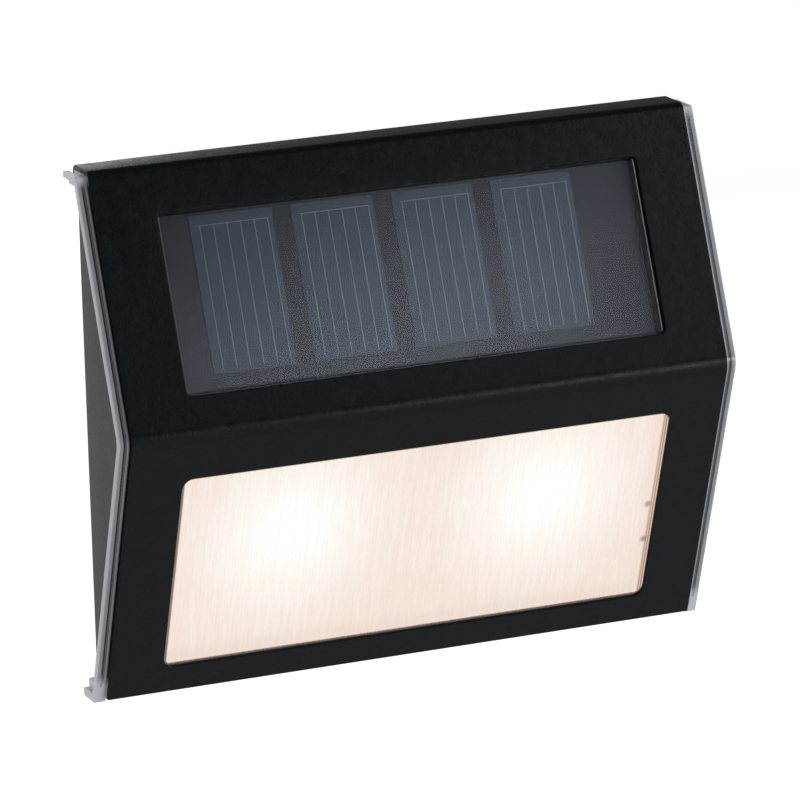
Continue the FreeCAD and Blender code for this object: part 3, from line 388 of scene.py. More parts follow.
@dataclass(frozen=True)
class ClearPolycarbonate(Finish):
    """Polycarbonate, injection moulded and clear: a soft gloss on the windows, a grey cast with painted
    highlights and painted shade in the thick rims.
    """

    rim: tuple[float, float] = (56.0, 59.0)         # from the middle to its inside and its outer edge
    walls_z: tuple[float, float] = (-62.7, 26.7)    # the foot wall lies below, the top wall above
    lug: tuple[float, float] = (-8.7, -8.1)         # where the rims' shade gives way to the lugs'
    # the lugs' colour is painted light: the white behind them seen through the clear plastic
    lug_painted_light: str = "CFCFD8"
    # bands across each rim: painted highlights along its edges, a painted shade along its groove as the dark
    # line, and in the first stop a painted shade under the cover's edge
    rim_light_and_shade: Stops = ((0.36, "1A1B1D"), (0.4, "AEAFB5"), (0.49, "B4B5BB"), (0.54, "47484C"),
                   (0.72, "3A3B3E"), (0.76, "8C8E92"), (0.93, "96989C"), (0.97, "C4C5CA"))
    milkiness: float = 0.78
    haze: str = "D8DADD"
    cloud_mm: float = 4.0
    cloud_wander: tuple[float, float] = (0.02, 0.14)
    coating: str = "DCE6F5"
    gloss_edge_on: float = 0.95
    gloss_face_on: float = 0.018
    # the faces look forward and stay clear; the low walls look sideways and darken what is seen through them
    # brownish, a painted shade along the windows' edges
    film: Stops = ((0.4, "BBA798"), (0.75, "D6C6B8"), (0.88, "F6F7F9"))
    frost: str = "A3A7A9"
    frost_roughness: float = 0.35
    shadow: str = "DADEE2"

    def rims(self, made: Surface) -> Node:
        """Dress the shader as the rims and lugs: grey, with painted highlights and painted shade in bands
        across the rims.

        Args:
            made: the material in the making.

        Returns:
            A mask that is 1 on the rims and on the top and foot walls.
        """
        aside = made.add("Math", {"operation": "ABSOLUTE"}, {0: made.axis("X")})
        share = made.add("MapRange", {
            "From Min": self.rim[0] * MM, "From Max": self.rim[1] * MM}, {"Value": aside})
        rim_light_and_shade = made.add("ValToRGB", {"stops": self.rim_light_and_shade}, {"Fac": share})
        # the lugs are painted paler, as if the white behind them shone through, since nothing dark lies behind
        # them
        lug = made.add("MapRange", {
            "From Min": self.lug[0] * MM, "From Max": self.lug[1] * MM}, {"Value": made.axis("Y")})
        pale = made.add("Mix", {"data_type": "RGBA", 7: srgb(self.lug_painted_light)}, {0: lug, 6: rim_light_and_shade})
        made.feed("Base Color", pale.outputs[2])
        made.vary_gloss(made.grain(self.cloud_mm, 1.0, (1, 1, 0.25)), *self.cloud_wander)
        made.put({"IOR": 1.58})
        mask = made.add("Math", {"operation": "GREATER_THAN", 1: 0.01}, {0: share})
        for limit, side in zip(self.walls_z, ("LESS_THAN", "GREATER_THAN")):
            wall = made.add("Math", {"operation": side, 1: limit * MM}, {0: made.axis("Z")})
            mask = made.add("Math", {"operation": "MAXIMUM"}, {0: mask, 1: wall})
        return mask

    def window(self, made: Surface) -> Node:
        """Add the windows' shader: see-through, with a gloss that rises where it is seen edge-on.

        Args:
            made: the material in the making.

        Returns:
            The shader.
        """
        edge_on = made.add("LayerWeight", {"Blend": 0.5}).outputs["Facing"]
        steep = made.add("Math", {"operation": "POWER", 1: 5.0}, {0: edge_on})
        gloss = made.add("Math", {
            "operation": "MULTIPLY_ADD", 1: self.gloss_edge_on, 2: self.gloss_face_on}, {0: steep})
        mirror = made.add("BsdfPrincipled", {
            "Base Color": srgb(self.coating), "Metallic": 1.0, "Roughness": self.roughness})
        normal = made.add("SeparateXYZ", links={0: made.add("NewGeometry").outputs["Normal"]})
        forward, sideways = (made.add("Math", {"operation": "ABSOLUTE"}, {0: normal.outputs[axis]})
                             for axis in ("Y", "X"))
        tint = made.add("ValToRGB", {"stops": self.film}, {"Fac": forward})
        film = made.add("BsdfTransparent", links={"Color": tint})
        clear = made.add("MixShader", links={0: gloss, 1: film, 2: mirror})
        # the rounded side edges are left frosted by the mould and catch the light
        frosted = made.add("MapRange", {"From Min": 0.25, "From Max": 0.5, "To Max": 0.6}, {"Value": sideways})
        frost = made.add("BsdfPrincipled", {"Base Color": srgb(self.frost), "Roughness": self.frost_roughness})
        return made.add("MixShader", links={0: frosted, 1: clear, 2: frost})

    def apply(self, made: Surface) -> None:
        """Put rims and windows together, and let lamps shine through to what lies behind.

        Args:
            made: the material in the making.
        """
        mask = self.rims(made)
        haze = made.add("BsdfTransparent", {"Color": srgb(self.haze)})
        rim = made.add("MixShader", {0: self.milkiness}, {1: haze, 2: made.shader})
        both = made.add("MixShader", links={0: mask, 1: self.window(made), 2: rim})
        shadow = made.add("BsdfTransparent", {"Color": srgb(self.shadow)})
        ray = made.add("LightPath").outputs["Is Shadow Ray"]
        made.join(made.add("MixShader", links={0: ray, 1: both, 2: shadow}), made.output.inputs["Surface"])


@dataclass(frozen=True)
class SiliconCell(Finish):
    """Crystalline silicon, etched and nitride coated: blue-grey crystals of slightly different tone."""

    crystal_mm: float = 3.2
    contrast: float = 0.22
    # the real etch is near 0.01 mm; it is drawn coarser so that its shimmer shows
    etch_mm: float = 0.25
    etch_depth: float = 0.003
    shades: Stops = ((0.35, "323C49"), (0.85, "3B4554"))
    specular: float = 0.3

    def apply(self, made: Surface) -> None:
        """Let the crystals give patches, and the etch a fine shimmer.

        Args:
            made: the material in the making.
        """
        crystals = made.add("TexVoronoi", {"Scale": 1 / (self.crystal_mm * MM)}, {"Vector": made.place})
        patch = made.add("SeparateColor", links={"Color": crystals.outputs["Color"]})
        etch = made.grain(self.etch_mm)
        both = made.add("Math", {"operation": "MULTIPLY_ADD", 1: self.contrast}, {0: patch, 2: etch})
        made.feed("Base Color", made.add("ValToRGB", {"stops": self.shades}, {"Fac": both}))
        made.put({"Specular IOR Level": self.specular})
        made.bump((etch, self.etch_depth))


@dataclass(frozen=True)
class LitDiffuser(Finish):
    """Acrylic sheet, extruded with fine flutes and lit from behind by two warm LEDs."""

    spots: tuple[tuple[float, float], ...] = ((-24.2, 24.5), (24.2, 24.5))      # across and down
    spot_out: float = -3.0
    spot_radius: float = 15.2
    flute_mm: float = 0.5
    streak: float = 0.18
    light: Stops = ((0.0, "F2DDCD"), (0.22, "F6E6D7"), (0.45, "FAEFE0"), (0.7, "FCF5E9"), (1.0, "FFFEFA"))
    strength: float = 1.13
    wall_x: tuple[float, float] = (45.5, 48.5)
    # painted shadow of the tray's right wall on the lit sheet
    wall_shadow: Stops = ((0.38, "FFFFFF"), (0.44, "F0E2D6"), (0.47, "CDB5A4"), (0.52, "CDB5A4"),
                        (0.56, "F6E4D6"), (0.8, "EBD4C4"))
    catches: tuple[tuple[float, float], ...] = ((46.3, 29.9), (46.5, 37.6))     # across and down
    catch_out: float = -2.25
    catch_radius: float = 0.9
    # painted shadow of each catch on the lit sheet
    catch_shadow: str = "9A877B"
    shape: Dogleg = Dogleg()

    def gap(self, made: Surface, spot: tuple[float, float], out: float) -> NodeSocket:
        """Return the distance to a spot of the lower face."""
        centre = tuple(self.shape.point(Face.LOWER, *spot, out))
        return made.add("VectorMath", {"operation": "DISTANCE", 1: centre}, {0: made.place}).outputs["Value"]

    def glow(self, made: Surface) -> Node:
        """Add up the light of the LEDs, each a bell round its spot.

        Args:
            made: the material in the making.

        Returns:
            The strength of the light, which is 1 in front of an LED.
        """
        steps = ({"operation": "DIVIDE", 1: self.spot_radius * MM}, {"operation": "POWER", 1: 2.0},
                 {"operation": "MULTIPLY", 1: -1.0}, {"operation": "EXPONENT"})
        bells = []
        for spot in self.spots:
            bell: Source = self.gap(made, spot, self.spot_out)
            for step in steps:
                bell = made.add("Math", step, {0: bell})
            bells.append(bell)
        return made.add("Math", {"operation": "ADD"}, dict(enumerate(bells)))

    def edges(self, made: Surface, light: Source) -> Source:
        """Paint the shadows that the tray's right wall and its two catches cast on the light where they stand
        behind the sheet.

        Args:
            made: the material in the making.
            light: the sheet's own light.

        Returns:
            The colour with these marks.
        """
        wall = made.add("MapRange", {
            "From Min": self.wall_x[0] * MM, "From Max": self.wall_x[1] * MM}, {"Value": made.axis("X")})
        line = made.add("ValToRGB", {"stops": self.wall_shadow}, {"Fac": wall})
        darken = {"data_type": "RGBA", "blend_type": "MULTIPLY"}
        marked = made.add("Mix", darken | {0: 1.0}, {6: light, 7: line}).outputs[2]
        for spot in self.catches:
            near = made.add("MapRange", {
                "From Min": 0.35 * self.catch_radius * MM, "From Max": self.catch_radius * MM,
                "To Min": 0.75, "To Max": 0.0}, {"Value": self.gap(made, spot, self.catch_out)})
            marked = made.add("Mix", darken | {7: srgb(self.catch_shadow)}, {0: near, 6: marked}).outputs[2]
        return marked

    def apply(self, made: Surface) -> None:
        """Light the sheet: two hot spots, cream towards the edges, upright streaks from the flutes.

        Args:
            made: the material in the making.
        """
        streak = made.grain(self.flute_mm, 2.0, (1, 0.05, 0.05))
        fine = made.grain(self.flute_mm / 2, 1.0, (1, 0.12, 0.12))
        both = made.add("Math", {"operation": "MULTIPLY_ADD", 1: 0.5}, {0: fine, 2: streak})
        shift = made.add("MapRange", {
            "From Min": 0.45, "From Max": 1.05, "To Min": -self.streak, "To Max": self.streak}, {"Value": both})
        tone = made.add("Math", {"operation": "ADD"}, {0: self.glow(made), 1: shift})
        light = made.add("ValToRGB", {"stops": self.light}, {"Fac": tone})
        made.feed("Emission Color", self.edges(made, light))
        made.put({"Emission Strength": self.strength, "IOR": 1.49})
        made.material.cycles.emission_sampling = "NONE"


class Look(Enum):
    """The light's finishes; a grained one has its grain's size and depth after its roughness."""

    POWDER_COAT = PowderCoat("powder_coated_steel", "0C1115", 0.26)
    CLEAR = ClearPolycarbonate("moulded_clear_polycarbonate", "F6F7F9", 0.14)
    # the tray's rear colour is a painted highlight along its rounded rear edge
    TRAY = MouldedPlastic("spark_eroded_black_abs", "151618", 0.55, 0.45, 0.03, "1A1B1D",
                          specular=0.24, rear="38393C")
    DOOR = MouldedPlastic("fine_grained_black_abs", "303133", 0.5, 0.35, 0.02, "363739")
    WHITE = MouldedPlastic("glossy_white_abs", "EFEDE8", 0.25, 1.5, 0.004, "F3F1EC")
    NYLON = MouldedPlastic("black_nylon", "1C1C1E", 0.45, 0.3, 0.01, "222224")
    PANEL = MouldedPlastic("clear_coated_panel_board", "2B2D30", 0.4, 3.0, 0.0005, "313337", specular=0.1)
    MASK = MouldedPlastic("green_solder_mask", "1D5A34", 0.3, 0.8, 0.01, "247040")
    WHITE_MASK = MouldedPlastic("white_solder_mask", "E6E6E1", 0.3, 0.8, 0.01, "EDEDE8")
    EPOXY = MouldedPlastic("moulded_black_epoxy", "1E1E20", 0.5, 0.25, 0.02, "242426")
    FERRITE = MouldedPlastic("sintered_ferrite", "3A3735", 0.6, 0.2, 0.02, "44403D")
    PHOSPHOR = MouldedPlastic("yellow_phosphor_gel", "F0C84A", 0.3, 0.4, 0.004, "F4D264")
    SLEEVE = MouldedPlastic("shrunk_green_pvc_sleeve", "2E7A55", 0.25, 2.5, 0.006, "358862")
    SILICONE = SoftPolymer("moulded_grey_silicone", "6E6F71", 0.6)
    SEALANT = SoftPolymer("black_silicone_bead", "141415", 0.4, 0.9, 0.05)
    FOAM = SoftPolymer("white_foam_tape", "DEDEDA", 0.8, 0.3, 0.04)
    RED_PVC = SoftPolymer("extruded_red_pvc", "B0201A", 0.35, 0.6, 0.004)
    BLACK_PVC = SoftPolymer("extruded_black_pvc", "18181A", 0.35, 0.6, 0.004)
    ZINC = PlatedMetal("zinc_plated_steel", "B4B6B8", 0.3, 0.4, shade="A4A7AA")
    NICKEL = PlatedMetal("nickel_plated_spring_steel", "C2BEB4", 0.22, 0.5, shade="B6B1A6", stretch=(1, 1, 8))
    TIN = PlatedMetal("stamped_tinned_steel", "B8BABB", 0.35, 0.5, shade="A9ABAD", stretch=(1, 4, 1))
    ALUMINIUM = PlatedMetal("drawn_aluminium", "C6C8CA", 0.3, 0.3, shade="BBBDC0", stretch=(1, 10, 1))
    COPPER = PlatedMetal("enamelled_copper_wire", "B5652B", 0.25, 0.4, shade="C27236")
    SILVER = PlatedMetal("fired_silver_paste", "ADB3BE", 0.5, 0.2, shade="A0A6B1")
    SILICON = SiliconCell("nitride_coated_silicon", "3F4A59", 0.3)
    LIT = LitDiffuser("lit_fluted_acrylic", "2A2725", 0.35)


@cache
def material(look: Look) -> Material:
    """Return a look's material, which is built when it is first asked for."""
    return look.value.build()


# ------------------------------------------------------------------ mesh making

def round_edges(solid: Object, radius_mm: float, segments: int, least_deg: float) -> None:
    """Round an object's sharp edges.

    Args:
        solid: the object.
        radius_mm: the edges' radius.
        segments: pieces in each rounding.
        least_deg: edges less sharp than this stay as they are.
    """
    bevel = solid.modifiers.new("edge", "BEVEL")
    bevel.width = radius_mm * MM
    bevel.segments = segments
    bevel.limit_method = "ANGLE"
    bevel.angle_limit = math.radians(least_deg)
    bevel.harden_normals = True


def dress(look: Look, *nodes: str, round_mm: float = 0.0) -> None:
    """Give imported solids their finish.

    Args:
        look: the finish.
        nodes: the solids' names.
        round_mm: radius put on their sharp edges, or 0 to leave them.
    """
    for node in nodes:
        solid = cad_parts[node]
        solid.data.materials.clear()
        solid.data.materials.append(material(look))
        if round_mm > 0:
            solid.modifiers.new("weld", "WELD").merge_threshold = WELD_GAP
            round_edges(solid, round_mm, 2, 35)
        LOG.info("dressed %s with %s", node, look.value.name)


class Piece:
    """Makes pieces out of points and faces."""

    @staticmethod
    def make(name: str, skin: Skin, look: Look, body: str, slot: str,
             smooth_deg: float = 35.0) -> Object:
        """Turn a skin into an object that rides on a body.

        Args:
            name: the piece's name.
            skin: its points and faces.
            look: its finish.
            body: the body that carries it.
            slot: the record's material slot; not used.
            smooth_deg: edges sharper than this stay sharp.

        Returns:
            The new object.
        """
        mesh = bpy.data.meshes.new(name)
        mesh.from_pydata([tuple(point) for point in skin[0]], [], skin[1])
        shape = bmesh.new()
        shape.from_mesh(mesh)
        bmesh.ops.remove_doubles(shape, verts=shape.verts, dist=WELD_GAP / 10)
        bmesh.ops.recalc_face_normals(shape, faces=shape.faces)
        shape.to_mesh(mesh)
        shape.free()
        mesh.shade_smooth()
        mesh.set_sharp_from_angle(angle=math.radians(smooth_deg))
        piece = bpy.data.objects.new(name, mesh)
        bpy.context.scene.collection.objects.link(piece)
        mesh.materials.append(material(look))
        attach(piece, body)
        return piece

    @staticmethod
    def loft(rings: list[list[Vector]]) -> Skin:
        """Join closed rings of the same count into a skin with closed ends.

        Args:
            rings: the rings, in order.

        Returns:
            The skin.
        """
        count = len(rings[0])
        faces = []
        for row in range(len(rings) - 1):
            for i in range(count):
                j = (i + 1) % count
                faces.append([row * count + i, row * count + j, (row + 1) * count + j, (row + 1) * count + i])
        faces.append(list(range(count))[::-1])
        faces.append([(len(rings) - 1) * count + i for i in range(count)])
        return [point for ring in rings for point in ring], faces

    @staticmethod
    def merge(skins: list[Skin]) -> Skin:
        """Put several skins into one.

        Args:
            skins: the skins.

        Returns:
            One skin of all their points and faces.
        """
        points: list[Vector] = []
        faces: list[list[int]] = []
        for more, surfaces in skins:
            start = len(points)
            points += more
            faces += [[start + i for i in surface] for surface in surfaces]
        return points, faces

    @staticmethod
    def rounded_outline(half_x: float, low: float, high: float, corner: float, steps: int) -> Profile:
        """Lay out a rounded rectangle.

        Args:
            half_x: half its width.
            low: its lower edge.
            high: its upper edge.
            corner: its corners' radius.
            steps: pieces in each corner.

        Returns:
            (x, y) points, counter-clockwise.
        """
        centres = [(half_x - corner, high - corner, 0), (-half_x + corner, high - corner, 90),
                   (-half_x + corner, low + corner, 180), (half_x - corner, low + corner, 270)]
        outline = []
        for x, y, start in centres:
            for step in range(steps + 1):
                angle = math.radians(start + 90 * step / steps)
                outline.append((x + corner * math.cos(angle), y + corner * math.sin(angle)))
        return outline


@dataclass(frozen=True)
class Lathe:
    """An axis that round pieces are turned on."""

    foot: Triple
    axis: Triple
    steps: int
    body: str

    def turn(self, name: str, profile: Profile, look: Look, slot: str) -> Object:
        """Turn a piece.

        Args:
            name: its name.
            profile: (radius, distance along the axis), in order.
            look: its finish.
            slot: the record's material slot.

        Returns:
            The piece.
        """
        start, axis = Vector(self.foot) * MM, Vector(self.axis)
        side = axis.orthogonal().normalized()
        other = axis.cross(side).normalized()
        rings = []
        for radius, along in profile:
            ring = []
            for step in range(self.steps):
                angle = 2 * math.pi * step / self.steps
                spoke = side * math.cos(angle) + other * math.sin(angle)
                ring.append(start + (axis * along + spoke * radius) * MM)
            rings.append(ring)
        return Piece.make(name, Piece.loft(rings), look, self.body, slot, 30.0)


# ------------------------------------------------------------------ sub-assemblies

@dataclass
class Cover:
    """Folded sheet with a hooked lip and two windows."""

    width: float = 113.8
    sheet: float = 0.8
    lip_depth: float = 1.0
    lip_drop: float = 2.6
    radii: tuple[float, ...] = (0.0, 1.1, 1.6, 5.4, 0.0)    # lip's edge, lip, fold, knee, foot's edge
    bends: tuple[int, ...] = (0, 6, 8, 18, 0)               # pieces in each
    flat_run: float = 20.0                                  # only the two faces have longer flats
    paint_edge: float = 0.2
    solar: tuple[float, float, float, float] = (91.8, 8.5, 32.2, 0.9)       # width, top, height, corner
    lamp: tuple[float, float, float, float] = (93.7, 8.8, 39.856, 2.1)
    shape: Dogleg = Dogleg()

    def path(self) -> list[Station]:
        """Follow the outer surface in the side view, from the lip's edge to the foot's.

        Returns:
            The stations in order.
        """
        top = self.shape.top
        (fold, knee), (_, foot) = self.shape.ends(Face.UPPER), self.shape.ends(Face.LOWER)
        corners = [(-self.lip_depth, top - self.lip_drop), (-self.lip_depth, top), fold, knee, foot]
        stations = []
        along = 0.0
        spot = Vector(corners[0])
        for i in range(1, len(corners)):
            corner = Vector(corners[i])
            back = (Vector(corners[i - 1]) - corner).normalized()
            away = Vector((-back.y, back.x))
            if i == len(corners) - 1:
                stations.append((along, spot.x, spot.y, away.x, away.y))
                along += (corner - spot).length
                stations.append((along, corner.x, corner.y, away.x, away.y))
                break
            ahead = (Vector(corners[i + 1]) - corner).normalized()
            radius = self.radii[i]
            turn = math.pi - back.angle(ahead)
            reach = radius * math.tan(turn / 2)
            first = corner + back * reach
            centre = first - away * radius
            if i == 1:
                stations.append((along, spot.x, spot.y, away.x, away.y))
            along += (first - spot).length
            ahead_away = Vector((ahead.y, -ahead.x))
            for step in range(self.bends[i] + 1):
                share = step / self.bends[i]
                direction = away.slerp(ahead_away, share) if share > 0 else away
                place = centre + direction * radius
                stations.append((along + radius * turn * share, place.x, place.y, direction.x, direction.y))
            along += radius * turn
            spot = corner + ahead * reach
        return stations

    def where(self, stations: list[Station], along: float, x: float, inset: float) -> Vector:
        """Find a point by its distance along the path.

        Args:
            stations: the side-view path.
            along: distance along it.
            x: across.
            inset: depth below the outer surface.

        Returns:
            The point in metres.
        """
        for first, second in zip(stations, stations[1:]):
            if along <= second[0] + 1e-9:
                break
        span = second[0] - first[0]
        share = (along - first[0]) / span if span > 1e-9 else 0.0
        y, z, out_y, out_z = (a + (b - a) * share for a, b in zip(first[1:], second[1:]))
        size = math.hypot(out_y, out_z)
        return Vector((x, y - out_y / size * inset, z - out_z / size * inset)) * MM

    def start_of(self, stations: list[Station], face: Face) -> float:
        """Find how far along the path a face's sharp upper end would be.

        Args:
            stations: the side-view path.
            face: which face.

        Returns:
            The distance.
        """
        (y0, z0), (y1, z1) = self.shape.ends(face)
        length = self.shape.length(face)
        middle = ((y0 + y1) / 2, (z0 + z1) / 2)
        for first, second in zip(stations, stations[1:]):
            span = second[0] - first[0]
            if span > self.flat_run:
                direction = ((second[1] - first[1]) / span, (second[2] - first[2]) / span)
                if abs(direction[0] - (y1 - y0) / length) < 1e-4:
                    ahead = (middle[0] - first[1]) * direction[0] + (middle[1] - first[2]) * direction[1]
                    return first[0] + ahead - length / 2
        raise ValueError(face)

    def flat(self, stations: list[Station]) -> bmesh.types.BMesh:
        """Lay the sheet out flat with its windows cut: x across, y the distance along.

        Args:
            stations: the side-view path, whose bends need lines across the sheet.

        Returns:
            The flat mesh.
        """
        half = self.width / 2
        shape = bmesh.new()
        loops = [[(-half, 0.0), (half, 0.0), (half, stations[-1][0]), (-half, stations[-1][0])]]
        for face, (width, top, height, corner) in ((Face.UPPER, self.solar), (Face.LOWER, self.lamp)):
            low = self.start_of(stations, face) + top
            loops.append(Piece.rounded_outline(width / 2, low, low + height, corner, 6))
        edges = []
        for loop in loops:
            corners = [shape.verts.new((x, y, 0.0)) for x, y in loop]
            edges += [shape.edges.new((corners[i - 1], corners[i])) for i in range(len(corners))]
        bmesh.ops.triangle_fill(shape, use_beauty=True, use_dissolve=False, edges=edges)
        for station in stations[1:-1]:
            everything = list(shape.verts) + list(shape.edges) + list(shape.faces)
            bmesh.ops.bisect_plane(shape, geom=everything, dist=1e-6, plane_co=(0, station[0], 0),
                                   plane_no=(0, 1, 0))
        shape.verts.ensure_lookup_table()
        return shape

    def build(self) -> None:
        """Bend the flat sheet to shape and give it its second side and its rounded paint edges."""
        stations = self.path()
        shape = self.flat(stations)
        count = len(shape.verts)
        points = [self.where(stations, v.co.y, v.co.x, inset) for inset in (0.0, self.sheet)
                  for v in shape.verts]
        faces = []
        for surface in shape.faces:
            ring = [v.index for v in surface.verts]
            faces.append(ring)
            faces.append([i + count for i in reversed(ring)])
        for edge in shape.edges:
            if len(edge.link_faces) == 1:
                a, b = (v.index for v in edge.verts)
                faces.append([a, b, b + count, a + count])
        shape.free()
        cover = Piece.make("cover_sheet", (points, faces), Look.POWDER_COAT, HOUSING, "powder_coated_steel")
        round_edges(cover, self.paint_edge, 3, 40)
        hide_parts("front_cover")
        LOG.info("cover_sheet: %d faces", len(faces))


@dataclass
class SolarPanel:
    """Cells on a dark board, each with printed silver fingers and a bus line."""

    window_width: float = 91.8
    window_top: float = 8.5
    cell_height: float = 27.7
    count: int = 4
    pitch: float = 19.1
    left_gap: float = 6.6
    top_gap: float = 1.0
    foot_gap: float = 0.6
    fingers: int = 6
    finger_pitch: float = 2.54
    finger_start: float = 1.83
    finger_width: float = 0.07
    bus_drop: float = 1.8
    bus_width: float = 0.06
    bus_past: float = 0.3
    surface: float = -2.25
    rise: float = 0.03
    shape: Dogleg = Dogleg()

    def strip(self, x: tuple[float, float], down: tuple[float, float]) -> Skin:
        """Print a line that is domed across its width.

        Args:
            x: its left and right edge.
            down: its upper and lower end, below the fold.

        Returns:
            Its skin.
        """
        points = []
        upright = down[1] - down[0] > x[1] - x[0]
        for share, dome in ((0.0, 0.0), (0.25, 0.8), (0.75, 0.8), (1.0, 0.0)):
            out = self.surface + self.rise * dome
            if upright:
                here = x[0] + (x[1] - x[0]) * share
                points += [self.shape.point(Face.UPPER, here, d, out) for d in down]
            else:
                here = down[0] + (down[1] - down[0]) * share
                points += [self.shape.point(Face.UPPER, a, here, out) for a in x]
        faces = [[2 * i, 2 * i + 1, 2 * i + 3, 2 * i + 2] for i in range(3)]
        return points, faces + [[0, 2, 4, 6], [7, 5, 3, 1], [0, 6, 7, 1]]

    def grid(self, index: int) -> None:
        """Print the fingers and the bus line of one cell.

        Args:
            index: the cell's number from the left, starting at 0.
        """
        left = -self.window_width / 2 + self.left_gap + index * self.pitch
        top = self.window_top + self.top_gap
        bus = top + self.bus_drop
        first = left + self.finger_start
        last = first + (self.fingers - 1) * self.finger_pitch
        half = self.finger_width / 2
        places = [first + finger * self.finger_pitch for finger in range(self.fingers)]
        lines = [self.strip((x - half, x + half), (bus, top + self.cell_height - self.foot_gap))
                 for x in places]
        lines.append(self.strip((first - self.bus_past, last + self.bus_past),
                                (bus - self.bus_width / 2, bus + self.bus_width / 2)))
        Piece.make(f"silver_grid_{index + 1}", Piece.merge(lines), Look.SILVER, HOUSING, "silicon_cell")
        LOG.info("silver_grid_%d: %d lines", index + 1, len(lines))

    def build(self) -> None:
        """Dress the board, the cells and the seal, and print the grids."""
        dress(Look.PANEL, "solar_board")
        dress(Look.SEALANT, "panel_seal")
        for index in range(self.count):
            dress(Look.SILICON, f"solar_cell_{index + 1}")
            self.grid(index)


@dataclass
class Lamp:
    """Fluted sheet, white tray and light strip behind the lamp window."""

    half: float = 48.2
    down: tuple[float, float] = (7.1, 49.606)
    front: float = -2.25
    thickness: float = 1.0
    # real flutes are somewhat finer; they are drawn coarser so that they show
    flute: float = 0.65
    flute_depth: float = 0.14
    rows: int = 36
    wander: float = 0.1
    seed: int = 7
    shape: Dogleg = Dogleg()

    def columns(self) -> Profile:
        """Draw the flutes' widths and depths by lot.

        Returns:
            Each column of the fluted face: its x and how far it lies below the ridges.
        """
        chance = random.Random(self.seed)
        places = [(-self.half, 0.0)]
        x = -self.half
        while x < self.half - self.flute:
            width = self.flute * chance.uniform(0.7, 1.3)
            depth = self.flute_depth * chance.uniform(0.5, 1.0)
            for share, sink in ((0.2, 0.6), (0.5, 1.0), (0.8, 0.6), (1.0, 0.0)):
                places.append((min(x + width * share, self.half), depth * sink))
            x += width
        places[-1] = (self.half, 0.0)
        return places

    def diffuser(self) -> None:
        """Build the fluted sheet; its flutes wander a little as they run down."""
        columns = self.columns()
        rings = []
        for row in range(self.rows + 1):
            down = self.down[0] + (self.down[1] - self.down[0]) * row / self.rows
            ring = []
            for x, sink in columns:
                shift = 0.0
                if abs(x) < self.half - 0.01:
                    shift = self.wander * noise.noise(Vector((x * 0.9, down * 0.12, 0.0)))
                ring.append(self.shape.point(Face.LOWER, x + shift, down, self.front - sink))
            rings.append(ring + [self.shape.point(Face.LOWER, x, down, self.front - self.thickness)
                                 for x in (self.half, -self.half)])
        sheet = Piece.make("fluted_sheet", Piece.loft(rings), Look.LIT, HOUSING, "fluted_diffuser", 80.0)
        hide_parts("lamp_diffuser")
        LOG.info("fluted_sheet: %d columns", len(columns))

    def build(self) -> None:
        """Build the sheet and dress the tray, the strip and the two light sources."""
        self.diffuser()
        dress(Look.WHITE, "reflector")
        dress(Look.WHITE_MASK, "led_board")
        dress(Look.PHOSPHOR, "led_left", "led_right")


@dataclass
class Shell:
    """Clear body with its rims, lugs and raised windows."""

    def build(self) -> None:
        """Dress the shell, the bonding tape and the long seal."""
        dress(Look.CLEAR, "clear_shell")
        dress(Look.FOAM, "cover_tape")
        dress(Look.SILICONE, "housing_gasket")


@dataclass
class Housing:
    """Dark tray on the wall's side with its screws."""

    edge: float = 0.15
    screw_edge: float = 0.08

    def build(self) -> None:
        """Dress the tray and the case screws."""
        dress(Look.TRAY, "rear_housing", round_mm=self.edge)
        dress(Look.ZINC, "housing_screws", round_mm=self.screw_edge)


@dataclass
class PowerBay:
    """Battery, its contacts and the door over them."""

    lathe: Lathe = Lathe((-19.25, -7.85, -8.4), (1, 0, 0), 56, BATTERY)     # from the negative end
    radius: float = 5.25
    can: float = 43.5
    nub: tuple[float, float] = (1.9, 1.0)       # radius, height
    door_edge: float = 0.1
    screw_edge: float = 0.08

    def cell(self) -> None:
        """Build the rechargeable cell: shrunk sleeve with rolled ends, base and nubbed cap."""
        r, end = self.radius, self.can
        sleeve = self.lathe.turn("battery_sleeve", [
            (r - 1.1, 0.14), (r - 1.0, 0.02), (r - 0.5, 0.0), (r - 0.15, 0.12), (r, 0.5), (r, 2.0),
            (r - 0.05, 2.3), (r - 0.05, end - 2.8), (r, end - 2.4), (r, end - 0.5), (r - 0.15, end - 0.12),
            (r - 0.5, end), (r - 1.0, end - 0.02), (r - 1.1, end - 0.14)], Look.SLEEVE, "battery_sleeve")
        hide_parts("battery_cell")
        self.lathe.turn("battery_base", [
            (0.3, 0.0), (2.6, 0.0), (2.9, 0.1), (r - 1.15, 0.12), (r - 1.15, 0.4)],
            Look.NICKEL, "battery_sleeve")
        nub, rise = self.nub
        self.lathe.turn("battery_cap", [
            (r - 1.15, end - 0.4), (r - 1.15, end - 0.1), (nub + 0.6, end - 0.1), (nub + 0.1, end - 0.02),
            (nub, end + 0.15), (nub, end + rise - 0.3), (nub - 0.15, end + rise - 0.06),
            (nub - 0.5, end + rise), (0.3, end + rise)], Look.NICKEL, "battery_sleeve")
        LOG.info("battery: sleeve, base and cap")

    def build(self) -> None:
        """Build the cell and dress the bay's pieces."""
        self.cell()
        dress(Look.NICKEL, "battery_plate_positive", "battery_plate_negative", "battery_spring")
        dress(Look.DOOR, "battery_door", round_mm=self.door_edge)
        dress(Look.SILICONE, "door_gasket")
        dress(Look.ZINC, "door_screws", round_mm=self.screw_edge)


